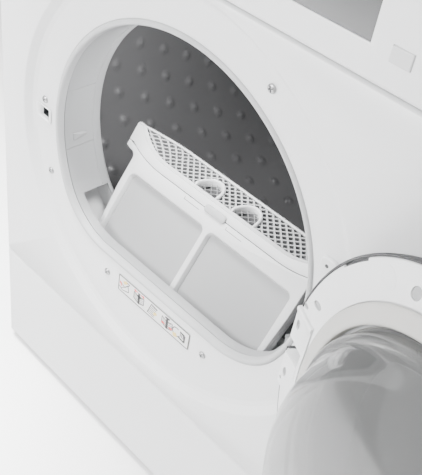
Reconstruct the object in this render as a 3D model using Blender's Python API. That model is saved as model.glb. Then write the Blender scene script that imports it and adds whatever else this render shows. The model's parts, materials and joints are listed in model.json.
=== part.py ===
"""Heat-pump clothes dryer with its door open and its lint filter lifted out of the slot.

World frame in metres: X to the machine's right, Y into the machine, Z up.
Z = 0 is the flat underside of the base tray. Lengths below are in millimetres
from the port centre on the lip plane unless the name says otherwise.
"""

import math

import bmesh
import bpy
from mathutils import Matrix, Vector

MM = 0.001
LIP_Y = -290.0
PORT_Z = 450.0

HALF_W = 298.0
FACE_Y = -10.0
BACK_Y = 590.0
TOP_Z = 388.0
DECK_Z = 354.0
FASCIA_Z = 253.0
KICK_Z = -269.5
BASE_Z = -450.0
FLOOR_Z = -462.0
PAD_H = 1.5

PORT_R = 192.5
PORT_FLAT = 131.5
PORT_FILLET = 85.0
PORT_DEPTH = 62.0
LIP_T = 1.2
GAP = 0.3
RECESS_R = 250.0
RECESS_IN = 238.0

DRUM_R = 287.0
DRUM_Z = 41.0
DRUM_Y0 = 70.0
DRUM_Y1 = 520.0
LIFTER_START = 40
MOTOR_X = 190.0
MOTOR_Z = -318.0

LOCK_X = -219.0
LOCK_Z = -1.0
LOCK_HOLE_W = 12.4
LOCK_HOLE_H = 12.0

HINGE_X = 229.1
HINGE_Y = -26.6
LUG_HALF = 9.0
DOOR_OPEN = 152.8
DOOR_R = 242.8

TILT = 33.6
FILT_Y = 59.9
FILT_Z = -89.4
FILT_W = 147.0
FILT_EAR = 164.0
FILT_BOTTOM = 78.0
EAR_RISE = 25.0
FINGERS = ((-41.0, -13.0), (13.0, 41.0))

SEG = 60


def clear_scene():
    for item in list(bpy.data.objects):
        bpy.data.objects.remove(item, do_unlink=True)


def material(name, colour, rough=0.5, metal=0.0, glass=0.0):
    mat = bpy.data.materials.new(name)
    mat.use_nodes = True
    shader = mat.node_tree.nodes["Principled BSDF"]
    shader.inputs["Base Color"].default_value = (*colour, 1.0)
    shader.inputs["Roughness"].default_value = rough
    shader.inputs["Metallic"].default_value = metal
    shader.inputs["Transmission Weight"].default_value = glass
    return mat


def world(p):
    return Vector((p[0] * MM, (p[1] + LIP_Y) * MM, (p[2] + PORT_Z) * MM))


def make(name, verts, faces, mat, smooth=True):
    mesh = bpy.data.meshes.new(name)
    bm = bmesh.new()
    made = [bm.verts.new(world(v)) for v in verts]
    for face in faces:
        bm.faces.new([made[i] for i in face])
    bmesh.ops.recalc_face_normals(bm, faces=bm.faces)
    bm.to_mesh(mesh)
    bm.free()
    if sum_volume(mesh) < 0:
        mesh.flip_normals()
    if smooth:
        mesh.shade_smooth()
        mesh.set_sharp_from_angle(angle=math.radians(32))
    obj = bpy.data.objects.new(name, mesh)
    bpy.context.scene.collection.objects.link(obj)
    if mat:
        mesh.materials.append(mat)
    return obj


def sum_volume(mesh):
    total = 0.0
    centre = mesh.vertices[0].co.copy()
    for poly in mesh.polygons:
        pts = [mesh.vertices[i].co - centre for i in poly.vertices]
        for a, b in zip(pts[1:-1], pts[2:]):
            total += pts[0].dot(a.cross(b))
    return total


def torus(name, loops, mat, smooth=True):
    """A closed ring: each loop joins the next and the last joins the first."""
    n = len(loops[0])
    verts = [p for loop in loops for p in loop]
    faces = []
    for k in range(len(loops)):
        a = k * n
        b = ((k + 1) % len(loops)) * n
        for i in range(n):
            j = (i + 1) % n
            faces.append((a + i, a + j, b + j, b + i))
    return make(name, verts, faces, mat, smooth)


def loft(name, loops, mat, smooth=True):
    """A closed body: loops joined in order with a flat cap at each end."""
    n = len(loops[0])
    verts = [p for loop in loops for p in loop]
    faces = [tuple(range(n)), tuple(range(len(verts) - n, len(verts)))]
    for k in range(len(loops) - 1):
        a = k * n
        b = a + n
        for i in range(n):
            j = (i + 1) % n
            faces.append((a + i, a + j, b + j, b + i))
    return make(name, verts, faces, mat, smooth)


def box(name, lo, hi, mat=None):
    x0, y0, z0 = lo
    x1, y1, z1 = hi
    ring = [(x0, y0), (x1, y0), (x1, y1), (x0, y1)]
    loops = [[(x, y, z) for x, y in ring] for z in (z0, z1)]
    return loft(name, loops, mat, smooth=False)


def circle(r, y, cx=0.0, cz=0.0, n=SEG):
    step = 2 * math.pi / n
    return [(cx + r * math.cos(i * step), y, cz + r * math.sin(i * step)) for i in range(n)]


def lathe(name, profile, mat, cx=0.0, cz=0.0, n=SEG):
    """A ring about a Y axis from a closed (radius, y) profile."""
    return torus(name, [circle(r, y, cx, cz, n) for r, y in profile], mat)


def turned(name, profile, mat, cx=0.0, cz=0.0, n=24):
    """A solid about a Y axis from an open (radius, y) profile."""
    return loft(name, [circle(r, y, cx, cz, n) for r, y in profile], mat)


def turned_z(name, profile, mat, cx, cy, n=24):
    """A solid about a Z axis from an open (radius, z) profile."""
    step = 2 * math.pi / n
    loops = []
    for r, z in profile:
        loops.append([(cx + r * math.cos(i * step), cy + r * math.sin(i * step), z) for i in range(n)])
    return loft(name, loops, mat)


def port(off, y):
    """The port's outline: a circle with a flat at the bottom and filleted corners."""
    r = PORT_R + off
    zb = -(PORT_FLAT + off)
    rc = PORT_FILLET + off
    zc = zb + rc
    xc = math.sqrt((r - rc) ** 2 - zc * zc)
    start = math.atan2(zc, xc)
    pts = []
    arc = SEG - 18
    for i in range(arc + 1):
        a = start + (math.pi - 2 * start) * i / arc
        pts.append((r * math.cos(a), y, r * math.sin(a)))
    side = math.pi - start
    for i in range(1, 8):
        a = side + (1.5 * math.pi - side) * i / 7
        pts.append((-xc + rc * math.cos(a), y, zc + rc * math.sin(a)))
    for i in range(1, 4):
        pts.append((-xc + 2 * xc * i / 4, y, zb))
    for i in range(7):
        a = -0.5 * math.pi + (start + 0.5 * math.pi) * i / 7
        pts.append((xc + rc * math.cos(a), y, zc + rc * math.sin(a)))
    return pts


def matched_circle(r, y, cz=0.0):
    """A circle whose points lie at the same angles as the port's."""
    pts = []
    for x, _, z in port(0, 0):
        a = math.atan2(z, x)
        s, c = math.sin(a), math.cos(a)
        reach = cz * s + math.sqrt(r * r - (cz * c) ** 2)
        pts.append((reach * c, y, reach * s))
    return pts


def matched_rect(half_x, z0, z1, y):
    """A rectangle whose points lie at the port's angles, with exact corners."""
    pts = []
    angles = []
    for x, _, z in port(0, 0):
        a = math.atan2(z, x)
        s, c = math.sin(a), math.cos(a)
        tx = half_x / abs(c) if abs(c) > 1e-6 else 1e9
        tz = (z1 / s if s > 0 else z0 / s) if abs(s) > 1e-6 else 1e9
        t = min(tx, tz)
        pts.append((t * c, y, t * s))
        angles.append(a)
    for cx, cz in ((half_x, z1), (-half_x, z1), (-half_x, z0), (half_x, z0)):
        corner = math.atan2(cz, cx)
        gaps = [abs(math.remainder(a - corner, 2 * math.pi)) for a in angles]
        pts[gaps.index(min(gaps))] = (cx, y, cz)
    return pts


def boolean(obj, cutters, operation="DIFFERENCE"):
    for cutter in cutters:
        cutter.hide_render = True
        cutter.display_type = "WIRE"
        mod = obj.modifiers.new("cut", "BOOLEAN")
        mod.operation = operation
        mod.solver = "EXACT"
        mod.object = cutter


def bevel(obj, width, segments=2, angle=50):
    mod = obj.modifiers.new("edge", "BEVEL")
    mod.width = width * MM
    mod.segments = segments
    mod.limit_method = "ANGLE"
    mod.angle_limit = math.radians(angle)


def turn_door(obj):
    """Swing a piece drawn in the closed position to the open rest position."""
    pivot = world((HINGE_X, HINGE_Y, 0))
    turn = Matrix.Rotation(math.radians(DOOR_OPEN), 4, "Z")
    obj.data.transform(Matrix.Translation(pivot) @ turn @ Matrix.Translation(-pivot))


def filt(u, v, w):
    """A point on the lint filter: u across, v down its face, w out of its face."""
    c = math.cos(math.radians(TILT))
    s = math.sin(math.radians(TILT))
    return (u, FILT_Y - v * s - w * c, FILT_Z - v * c + w * s)


def filt_box(name, lo, hi, mat=None):
    u0, v0, w0 = lo
    u1, v1, w1 = hi
    ring = [(u0, v0), (u1, v0), (u1, v1), (u0, v1)]
    return loft(name, [[filt(u, v, w) for u, v in ring] for w in (w0, w1)], mat, smooth=False)


def filt_plate(name, outline, w0, w1, mat=None):
    return loft(name, [[filt(u, v, w) for u, v in outline] for w in (w0, w1)], mat)


# ---------------------------------------------------------------- materials

def materials():
    m = {}
    m["white"] = material("white_enamel", (0.80, 0.81, 0.81), 0.30)
    m["fascia"] = material("white_plastic", (0.78, 0.79, 0.79), 0.38)
    m["light"] = material("light_grey_plastic", (0.62, 0.63, 0.64), 0.45)
    m["dark"] = material("dark_grey_plastic", (0.08, 0.085, 0.09), 0.40)
    m["black"] = material("black_plastic", (0.02, 0.02, 0.022), 0.45)
    m["steel"] = material("stainless_steel", (0.42, 0.43, 0.44), 0.30, 1.0)
    m["galv"] = material("galvanised_steel", (0.55, 0.56, 0.57), 0.45, 1.0)
    m["chrome"] = material("chromed_steel", (0.75, 0.75, 0.76), 0.15, 1.0)
    m["glass"] = material("tempered_glass", (0.62, 0.64, 0.66), 0.05, 0.0, 0.9)
    m["seal"] = material("beige_rubber", (0.62, 0.61, 0.57), 0.65)
    m["rubber"] = material("black_rubber", (0.03, 0.03, 0.03), 0.75)
    m["felt"] = material("grey_felt", (0.35, 0.34, 0.33), 0.95)
    m["mesh"] = material("polyester_mesh", (0.55, 0.56, 0.57), 0.70)
    m["alu"] = material("aluminium_fins", (0.70, 0.71, 0.72), 0.35, 1.0)
    m["paper"] = material("printed_label", (0.85, 0.85, 0.84), 0.55)
    m["screen"] = material("dark_display", (0.01, 0.012, 0.015), 0.10)
    return m


# ---------------------------------------------------------------- cabinet

def front_panel(m):
    z0 = KICK_Z + 0.5
    z1 = FASCIA_Z - 0.5
    t = LIP_T
    loops = [
        matched_rect(HALF_W, z0, z1, 14),
        matched_rect(HALF_W, z0, z1, -2),
        matched_rect(HALF_W - 2.5, z0 + 0.8, z1 - 0.8, -8),
        matched_rect(HALF_W - 8, z0 + 2.5, z1 - 2.5, FACE_Y),
        matched_circle(RECESS_R, FACE_Y),
        matched_circle(RECESS_IN + 1, -0.8),
        matched_circle(RECESS_IN - 2, 0),
        port(6.0, 0),
        port(4.0, -0.8),
        port(2.0, -0.2),
        port(0.2, 3),
        port(0.2, 7.5),
        port(1.4, 7.5),
        port(1.4, 3.4),
        port(5.0, t),
        matched_circle(RECESS_IN - 2, t),
        matched_circle(RECESS_IN + 1 + t, 0.2),
        matched_circle(RECESS_R + 0.6, FACE_Y + t),
        matched_rect(HALF_W - 8, z0 + 3.5, z1 - 3.5, FACE_Y + t),
        matched_rect(HALF_W - t, z0 + t, z1 - t, -2),
        matched_rect(HALF_W - t, z0 + t, z1 - t, 14),
    ]
    obj = torus("front_panel", loops, m["white"])
    boolean(obj, [lock_cutter("cut_lock", 1.0)])


def lock_cutter(name, margin):
    half_w = LOCK_HOLE_W / 2 + margin
    half_h = LOCK_HOLE_H / 2 + margin
    return box(name, (LOCK_X - half_w, -6, LOCK_Z - half_h), (LOCK_X + half_w, 12, LOCK_Z + half_h))


def rounded_tray(name, x0, x1, z0, z1, mat, y_back=14.0, t=2.0):
    """A shallow pressed panel: a front face with rounded edges and a rim behind."""
    def rect(inset, y):
        xs = (x0 + inset, x1 - inset)
        zs = (z0 + inset, z1 - inset)
        return [(xs[0], y, zs[0]), (xs[1], y, zs[0]), (xs[1], y, zs[1]), (xs[0], y, zs[1])]
    outer = [rect(0, y_back), rect(0, -2), rect(0.9, -6), rect(3, -9), rect(6.5, FACE_Y)]
    inner = [rect(6.5, FACE_Y + t), rect(t, 0), rect(t, y_back)]
    loops = outer + inner
    verts = [p for loop in loops for p in loop]
    faces = []
    for k in range(4):
        for i in range(4):
            j = (i + 1) % 4
            faces.append((4 * k + i, 4 * k + j, 4 * k + 4 + j, 4 * k + 4 + i))
    faces.append((16, 17, 18, 19))
    faces.append((20, 21, 22, 23))
    for k in (5, 6):
        for i in range(4):
            j = (i + 1) % 4
            faces.append((4 * k + i, 4 * k + j, 4 * k + 4 + j, 4 * k + 4 + i))
    for i in range(4):
        j = (i + 1) % 4
        faces.append((i, j, 28 + j, 28 + i))
    return make(name, verts, faces, mat)


def kick_panel(m):
    rounded_tray("kick_panel", -HALF_W, HALF_W, BASE_Z + 1, KICK_Z - 0.5, m["white"])


def control_fascia(m):
    obj = rounded_tray("control_fascia", -149, HALF_W, FASCIA_Z + 0.5, DECK_Z - 0.8, m["fascia"], t=2.5)
    cuts = [box("cut_display", (52, -14, 284), (188, 6, 326))]
    cuts.append(turned("cut_knob", [(9, -14), (9, 6)], None, 0, 304, 24))
    for i in range(2):
        x = 206 + 40 * i
        cuts.append(box("cut_button_%d" % i, (x, -14, 278), (x + 20, 6, 292)))
    cuts.append(box("cut_start", (232, -14, 306), (264, 6, 326)))
    boolean(obj, cuts)


def controls(m):
    box("display_window", (52.4, -9.2, 284.4), (187.6, -7.4, 325.6), m["screen"])
    knob = [(8.6, -4), (8.6, -10.4), (25, -10.4), (26, -12), (24.5, -30), (22, -32)]
    turned("programme_knob", knob, m["steel"], 0, 304, 40)
    for i in range(2):
        x = 206 + 40 * i
        obj = box("option_button_%d" % (i + 1), (x + 0.4, -11.5, 278.4), (x + 19.6, -5, 291.6), m["light"])
        bevel(obj, 1.0)
    obj = box("start_button", (232.4, -12, 306.4), (263.6, -5, 325.6), m["light"])
    bevel(obj, 1.5)


def side_panel(name, side, m):
    a = side * HALF_W
    b = side * (HALF_W - 1.0)
    c = side * (HALF_W - 14.0)
    outline = [(a, 14.6), (c, 14.6), (c, 15.6), (b, 15.6), (b, 587), (c, 587), (c, 588), (a, 588)]
    loops = [[(x, y, z) for x, y in outline] for z in (BASE_Z, DECK_Z - 0.5)]
    loft(name, loops, m["white"], smooth=False)


def rear_panel(m):
    obj = box("rear_panel", (-296, 588.4, BASE_Z), (296, 589.4, DECK_Z - 0.5), m["galv"])
    cuts = []
    for row in range(3):
        for col in range(8):
            x = -150 + 40 * col
            z = -400 + 34 * row
            cuts.append(box("cut_vent_%d_%d" % (row, col), (x, 584, z), (x + 26, 594, z + 8)))
    boolean(obj, cuts)
    dish = [(262, 588.9), (250, 592.5), (228, 600), (60, 603)]
    dome = turned("rear_dome", dish, None, 0, DRUM_Z, 48)
    inside = [(259, 580), (249, 588.4), (227, 599), (60, 602)]
    hollow = turned("cut_rear_dome", inside, None, 0, DRUM_Z, 48)
    boolean(obj, [dome], "UNION")
    boolean(obj, [hollow])


def worktop(m):
    obj = box("worktop", (-298, -8, DECK_Z), (298, BACK_Y, TOP_Z), m["white"])
    bevel(obj, 5.0, 3)


def base_tray(m):
    floor = BASE_Z + PAD_H
    obj = box("base_tray", (-294, 18, floor), (294, 586, -372), m["light"])
    boolean(obj, [box("datum_pad", (-60, 250, BASE_Z), (60, 330, floor + 1))], "UNION")
    cuts = [box("cut_base_a", (-288, 24, -444), (-6, 580, -360))]
    cuts.append(box("cut_base_b", (0, 24, -444), (288, 300, -360)))
    cuts.append(box("cut_base_c", (0, 306, -444), (288, 580, -360)))
    boolean(obj, cuts)
    k = 0
    for x in (-250, 250):
        for y in (60, 545):
            k += 1
            profile = [(16, FLOOR_Z), (20, FLOOR_Z + 2), (20, FLOOR_Z + 5)]
            profile += [(11, FLOOR_Z + 7), (11, floor - GAP)]
            turned_z("foot_%d" % k, profile, m["rubber"], x, y, 20)


# ---------------------------------------------------------------- port

def port_ring(m):
    loops = [
        port(2.0, 8.2),
        port(0.3, 9.0),
        port(0.3, 24),
        port(0.3, PORT_DEPTH),
        port(2.5, PORT_DEPTH + 3),
        matched_circle(284, PORT_DEPTH + 3, DRUM_Z),
        matched_circle(284, PORT_DEPTH, DRUM_Z),
        port(5.0, PORT_DEPTH),
        port(3.3, PORT_DEPTH - 2),
        port(3.3, 24),
        port(3.3, 8.2),
    ]
    obj = torus("port_ring", loops, m["light"])
    cuts = [box("cut_slot", (-172, 20, -200), (172, 58.6, -98))]
    for k, x in enumerate((-151, 115)):
        cuts.append(box("cut_ear_%d" % k, (x, 50, -127), (x + 36, 70, -80)))
    boolean(obj, cuts)


def filter_duct(m):
    def rect(hx, y0, y1, z):
        return [(-hx, y0, z), (hx, y0, z), (hx, y1, z), (-hx, y1, z)]
    loops = [
        rect(176, 2.6, 60.5, -136.5), rect(176, 2.6, 60.5, -264),
        rect(173, 4.6, 58.5, -264), rect(173, 4.6, 58.5, -136.5),
    ]
    torus("filter_duct", loops, m["light"], smooth=False)


def lip_details(m):
    spots = [(-219.5, 17.3), (-205.6, -79.3), (103.3, 199.2), (-86.5, -164), (86.5, -164)]
    for k, (x, z) in enumerate(spots):
        dome = [(4.6, -0.3), (4.6, -1.2), (3.4, -2.3), (1.5, -2.8)]
        turned("panel_screw_%d" % (k + 1), dome, m["chrome"], x, z, 20)
    lo, hi = (LOCK_X - 13.4, -2.4, LOCK_Z - 10.4), (LOCK_X + 12.2, -GAP, LOCK_Z + 9.2)
    obj = box("door_lock", lo, hi, m["light"])
    boolean(obj, [lock_cutter("cut_lock_hole", 0.0)])
    box("instruction_label", (-64, -0.8, -176), (64, -0.3, -150), m["paper"])


# ---------------------------------------------------------------- door

def door(m):
    inner = -8.0
    frame = [
        (DOOR_R, inner), (DOOR_R, -30), (238.5, -40.5), (229, -46), (168, -48), (162, -47),
        (162, -44), (226, -42), (235, -38), (239.9, -29), (240.2, inner),
    ]
    obj = lathe("door_frame", frame, m["dark"])
    turn_door(obj)
    gap = LUG_HALF + 1.5
    cut = box("cut_frame_hinge", (206, -60, -gap), (252, 4, gap))
    turn_door(cut)
    boolean(obj, [cut])

    ring = [
        matched_circle(239.8, -8.4), matched_circle(238.6, -6.8), matched_circle(222, -6.8),
        port(15, -6.8), port(15, -9), port(-4, -11), port(-4, -13),
        port(17, -12.5), matched_circle(222, -9.3), matched_circle(239.8, -9.3),
    ]
    obj = torus("door_inner_ring", ring, m["white"])
    turn_door(obj)
    cut = box("cut_ring_hinge", (208.5, -40, -49.5), (252, 4, 49.5))
    turn_door(cut)
    boolean(obj, [cut])

    seal = [
        port(14.3, -6.5), port(14.3, -4.6), port(11, -3.6), port(3, -1.6), port(-0.6, -1.2),
        port(-2.2, -2.6), port(-2.2, -8.6), port(2, -7.9), port(13, -6.6),
    ]
    obj = torus("door_seal", seal, m["seal"])
    turn_door(obj)

    outer = [
        port(-5, -14), port(-8.7, 5), port(-12, 8), port(-20, 20), port(-34, 38),
        port(-60, 52), scaled(0.55, 58), scaled(0.25, 61),
    ]
    inner = [
        scaled(0.25, 56.5), scaled(0.53, 53.6), port(-64, 48), port(-38.5, 35),
        port(-24, 18), port(-13, 4), port(-13, -11), port(-16, -18), port(-5, -18),
    ]
    bowl(outer, inner, m)

    pane = [(161.4, -43.5), (161.4, -47.2), (156, -48.8), (3, -50.5)]
    obj = turned("door_window", pane, m["screen"], 0, 0, 48)
    turn_door(obj)


def bowl(outer, inner, m):
    """The glass bowl: an outer skin and an inner skin joined at the rim."""
    n = SEG
    verts = [p for loop in outer + inner for p in loop]
    first = len(outer)
    total = first + len(inner)
    faces = [tuple(range((first - 1) * n, first * n)), tuple(range(first * n, (first + 1) * n))]
    for k in range(total - 1):
        if k != first - 1:
            faces += strip(k * n, (k + 1) * n, n)
    faces += strip((total - 1) * n, 0, n)
    obj = make("door_bowl", verts, faces, m["glass"])
    turn_door(obj)


def scaled(f, y):
    return [(x * f, y, z * f) for x, _, z in port(-60, 0)]


def strip(a, b, n):
    return [(a + i, a + (i + 1) % n, b + (i + 1) % n, b + i) for i in range(n)]


def arc(cx, cy, r, a0, a1, n):
    pts = []
    for i in range(n + 1):
        a = math.radians(a0 + (a1 - a0) * i / n)
        pts.append((cx + r * math.cos(a), cy + r * math.sin(a)))
    return pts


def door_hinge(m):
    plate = box("hinge_plate", (210, -3.3, -76), (222, -0.3, 76), m["galv"])
    lug = [(213, -2.0), (221.5, -2.0)] + arc(HINGE_X, HINGE_Y, 6.5, 20, -200, 14)
    arm = loft("hinge_arm", [[(x, y, z) for x, y in lug] for z in (-LUG_HALF, LUG_HALF)], None)
    boolean(plate, [arm], "UNION")
    boolean(plate, [turned_z("cut_pin", [(3.06, -30), (3.06, 30)], None, HINGE_X, HINGE_Y, 24)])

    block = box("hinge_block", (209, -20, -48.5), (225, -5.6, 48.5), m["white"])
    knuckles = []
    near = LUG_HALF + 0.5
    far = near + 19.0
    for k, (z0, z1) in enumerate(((-far, -near), (near, far))):
        shape = arc(HINGE_X, HINGE_Y, 5.4, -110, 70, 12) + [(224, -7), (215, -7), (215, -20)]
        knuckles.append(loft("knuckle_%d" % k, [[(x, y, z) for x, y in shape] for z in (z0, z1)], None))
    slot = box("cut_block_slot", (213.4, -60, 0.1 - near), (260, 10, near - 0.1))
    hole = turned_z("cut_block_pin", [(3.3, -60), (3.3, 60)], None, HINGE_X, HINGE_Y, 24)
    for item in [block, slot, hole] + knuckles:
        turn_door(item)
    boolean(block, knuckles, "UNION")
    boolean(block, [slot], "DIFFERENCE")
    boolean(block, [hole])
    turned_z("hinge_pin", [(3.0, 0.5 - far), (3.0, far - 0.5)], m["chrome"], HINGE_X, HINGE_Y, 24)
    corners = ((-1, -1), (1, -1), (1, 1), (-1, 1))
    latch = loft("door_latch", [
        [(LOCK_X + a * half_x, y, LOCK_Z + b * half_z) for a, b in corners]
        for y, half_x, half_z in ((-6.4, 4.0, 5.0), (6.0, 3.0, 4.0), (8.0, 2.0, 3.0))
    ], m["steel"])
    turn_door(latch)


# ---------------------------------------------------------------- lint filter

def rise(u):
    """How far the port's outline has climbed above its flat at distance u."""
    flat = math.sqrt((PORT_R - PORT_FILLET) ** 2 - (PORT_FLAT - PORT_FILLET) ** 2)
    d = max(0.0, abs(u) - flat)
    return PORT_FILLET - math.sqrt(PORT_FILLET ** 2 - d * d)


def filter_head():
    loops = []
    stations = [164, 158, 150, 141, 131, 120, 105, 60]
    stations = [-s for s in stations] + [0] + stations[::-1]
    for u in stations:
        up = min(rise(u), EAR_RISE)
        front = -55.5 - up
        split = -44.3 - 0.5 * up
        depth = 4.0 + 36.0 * (1.0 - up / EAR_RISE)
        back = -82.0
        ring = [(split, -0.2), (front, 0.0), (back, -depth), (back + 3.5, -depth - 1.5)]
        ring.append((-60.0 - 0.7 * up, -22.0 * (0.25 + 0.75 * (1 - up / EAR_RISE)) - 2.0))
        ring.append((split, -min(20.0, depth + 3.0)))
        loops.append([filt(u, v, w) for v, w in ring])
    return loft("filter_head", loops, None)


def filter_halves(m):
    lower = [(FILT_W, 0), (141, FILT_BOTTOM), (-141, FILT_BOTTOM), (-FILT_W, 0)]
    side = [(-FILT_W, -46.5), (FILT_W, -46.5)] + lower
    front_outline = [(-145, -43.9), (145, -43.9), (FILT_EAR, -56), (FILT_EAR, -48), (FILT_W, -37)] + lower
    front_outline += [(-FILT_W, -37), (-FILT_EAR, -48), (-FILT_EAR, -56)]
    for name, outline, w0, w1, p0, p1 in (
        ("filter_front", front_outline, -9.7, 0.0, -12.0, -5.5),
        ("filter_rear", side, -20.0, -10.3, -14.5, -8.0),
    ):
        obj = filt_plate(name, outline, w0, w1, m["fascia"])
        cuts = [filt_box("cut_%s_pocket" % name, (-139.5, -27, p0), (139.5, 72, p1))]
        for k, (a, b) in enumerate(((-135.5, -5.3), (5.3, 135.5))):
            cuts.append(filt_box("cut_%s_window_%d" % (name, k), (a, -23, -30), (b, 68, 10)))
        if name == "filter_rear":
            boolean(obj, [filter_head()], "UNION")
            for k, (a, b) in enumerate(FINGERS):
                cuts.append(finger_hole("cut_finger_%d" % k, a, b))
        boolean(obj, cuts)
    filt_box("filter_mesh_front", (-139, -26.5, -7.4), (139, 71.5, -6.2), m["mesh"])
    filt_box("filter_mesh_rear", (-139, -26.5, -13.8), (139, 71.5, -12.6), m["mesh"])
    obj = filt_plate("filter_latch", rounded(-17, -50.5, 17, -40.5, 3), 0.3, 2.6, m["fascia"])
    pin = []
    for i in range(16):
        a = 2 * math.pi * i / 16
        pin.append((FILT_BOTTOM + 2.4 + 2.0 * math.cos(a), -10.0 + 2.0 * math.sin(a)))
    loft("filter_hinge_pin", [[filt(u, v, w) for v, w in pin] for u in (-60, 60)], m["galv"])


def rounded(u0, v0, u1, v1, r):
    pts = []
    right, left, top, low = u1 - r, u0 + r, v1 - r, v0 + r
    for cx, cy, a in ((right, top, 0), (left, top, 90), (left, low, 180), (right, low, 270)):
        pts += arc(cx, cy, r, a, a + 90, 3)
    return pts


def finger_hole(name, a, b):
    """A D-shaped pocket, straight in front and round behind, cut down into the head."""
    mid = (a + b) / 2
    half = (b - a) / 2
    plan = [(a, -2.0), (a, -9.0)]
    for i in range(1, 8):
        t = math.pi - math.pi * i / 8
        plan.append((mid + half * math.cos(t), -9.0 - 12.0 * math.sin(t)))
    plan += [(b, -9.0), (b, -2.0)]
    return loft(name, [[filt(u, v, w) for u, w in plan] for v in (-100, -49)], None)


# ---------------------------------------------------------------- drum

def drum(m):
    shell = [
        (265, DRUM_Y0), (DRUM_R - 4, DRUM_Y0), (DRUM_R, DRUM_Y0 + 4), (DRUM_R, DRUM_Y1),
        (DRUM_R + 1.0, DRUM_Y1), (DRUM_R + 1.0, DRUM_Y0 + 3), (DRUM_R - 3.4, DRUM_Y0 - 1.0), (265, DRUM_Y0 - 1.0),
    ]
    lathe("drum_shell", shell, m["steel"], 0, DRUM_Z)
    disc = [(16, 503), (110, 503), (150, 511), (283, 511), (286.5, 514), (286.5, 519)]
    disc += [(284, 519), (281, 512.6), (149, 512.6), (109, 504.6), (16, 504.6)]
    lathe("drum_rear_disc", disc, m["steel"], 0, DRUM_Z)
    for k in range(3):
        lifter("drum_lifter_%d" % (k + 1), LIFTER_START + 120 * k, m)
    shaft = [(24, 505.0), (24, 512), (13, 514), (13, 560), (10, 562)]
    turned("drum_shaft", shaft, m["galv"], 0, DRUM_Z, 32)
    bulkhead_rear(m)
    lathe("drum_felt", [(266, 65.4), (280, 65.4), (280, 68.6), (266, 68.6)], m["felt"], 0, DRUM_Z, 48)
    belt = [belt_loop(0, 299), belt_loop(0, 311), belt_loop(1.8, 311), belt_loop(1.8, 299)]
    torus("drum_belt", belt, m["rubber"])


def belt_loop(off, y):
    """The belt's path round the drum and the motor pulley."""
    pts = []
    for i in range(SEG):
        a = 2 * math.pi * (i + 0.5) / SEG
        c, s = math.cos(a), math.sin(a)
        on_drum = (DRUM_R + 2.4) + DRUM_Z * s
        on_motor = 14.5 + MOTOR_X * c + MOTOR_Z * s
        if on_drum > on_motor:
            pts.append(((DRUM_R + 2.4 + off) * c, y, DRUM_Z + (DRUM_R + 2.4 + off) * s))
        else:
            pts.append((MOTOR_X + (14.5 + off) * c, y, MOTOR_Z + (14.5 + off) * s))
    return pts


def bulkhead_rear(m):
    obj = box("rear_bulkhead", (-292, 558, -368), (292, 560, 340), m["galv"])
    hub = [(30, 532), (30, 548), (56, 553), (56, 559)]
    boolean(obj, [turned("bearing_hub", hub, None, 0, DRUM_Z, 40)], "UNION")
    cuts = [turned("cut_bulk_shaft", [(13.2, 520), (13.2, 570)], None, 0, DRUM_Z, 32)]
    for k in range(12):
        a = math.radians(30 * k)
        x = 130 * math.cos(a)
        z = DRUM_Z + 130 * math.sin(a)
        cuts.append(turned("cut_bulk_%d" % k, [(18, 550), (18, 570)], None, x, z, 12))
    boolean(obj, cuts)


def lifter(name, degrees, m):
    a = math.radians(degrees)
    radial = (math.cos(a), math.sin(a))
    across = (-math.sin(a), math.cos(a))
    loops = []
    for y, tall, wide in ((84, 22, 22), (92, 48, 24), (480, 48, 24), (492, 30, 22)):
        ring = []
        shoulder, high = wide * 0.45, tall * 0.75
        for s, h in ((-wide, 0), (-shoulder, high), (-6, tall), (6, tall), (shoulder, high), (wide, 0)):
            base = math.sqrt((DRUM_R - 0.4) ** 2 - s * s)
            r = base - h
            ring.append((radial[0] * r + across[0] * s, y, DRUM_Z + radial[1] * r + across[1] * s))
        loops.append(ring)
    loft(name, loops, m["dark"])


# ---------------------------------------------------------------- drive and heat pump

def drive(m):
    mx, mz = MOTOR_X, MOTOR_Z
    turned("motor_housing", [(40, 330), (52, 334), (52, 446), (40, 450)], m["galv"], mx, mz, 32)
    turned("motor_shaft", [(6, 296), (14, 297), (14, 316), (6, 317), (6, 329.5)], m["steel"], mx, mz, 24)
    wheel = [(70, 452), (70, 492), (66, 492), (64, 456), (14, 456), (14, 470), (6.2, 470), (6.2, 452)]
    lathe("fan_wheel", wheel, m["black"], mx, mz, 32)
    for k, x in enumerate((-140, 140)):
        z = DRUM_Z - math.sqrt((DRUM_R + 1.0 + 21) ** 2 - x * x) - 0.5
        profile = [(5, 66), (5, 84), (19, 84), (21, 86), (21, 96), (19, 98), (5, 98), (5, 104)]
        turned("support_roller_%d" % (k + 1), profile, m["rubber"], x, z, 24)
    comp = [(62, -440), (66, -434), (66, -352), (58, -336), (40, -328), (8, -325)]
    turned_z("compressor", comp, m["black"], -80, 470, 32)
    finned("heat_exchanger", 60, 290, m)


def finned(name, y0, y1, m):
    """A heat exchanger: a core with its fins standing proud on top and bottom."""
    pts = []
    n = 9
    x0, x1 = -262.0, -102.0
    step = (x1 - x0) / n
    for i in range(n):
        a = x0 + step * i
        pts += [(a, -326), (a + step * 0.5, -326), (a + step * 0.5, -334), (a + step, -334)]
    low = [(x1, -441), (x0, -441)]
    loops = [[(x, y, z) for x, z in pts + low] for y in (y0, y1)]
    loft(name, loops, m["alu"], smooth=False)


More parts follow.
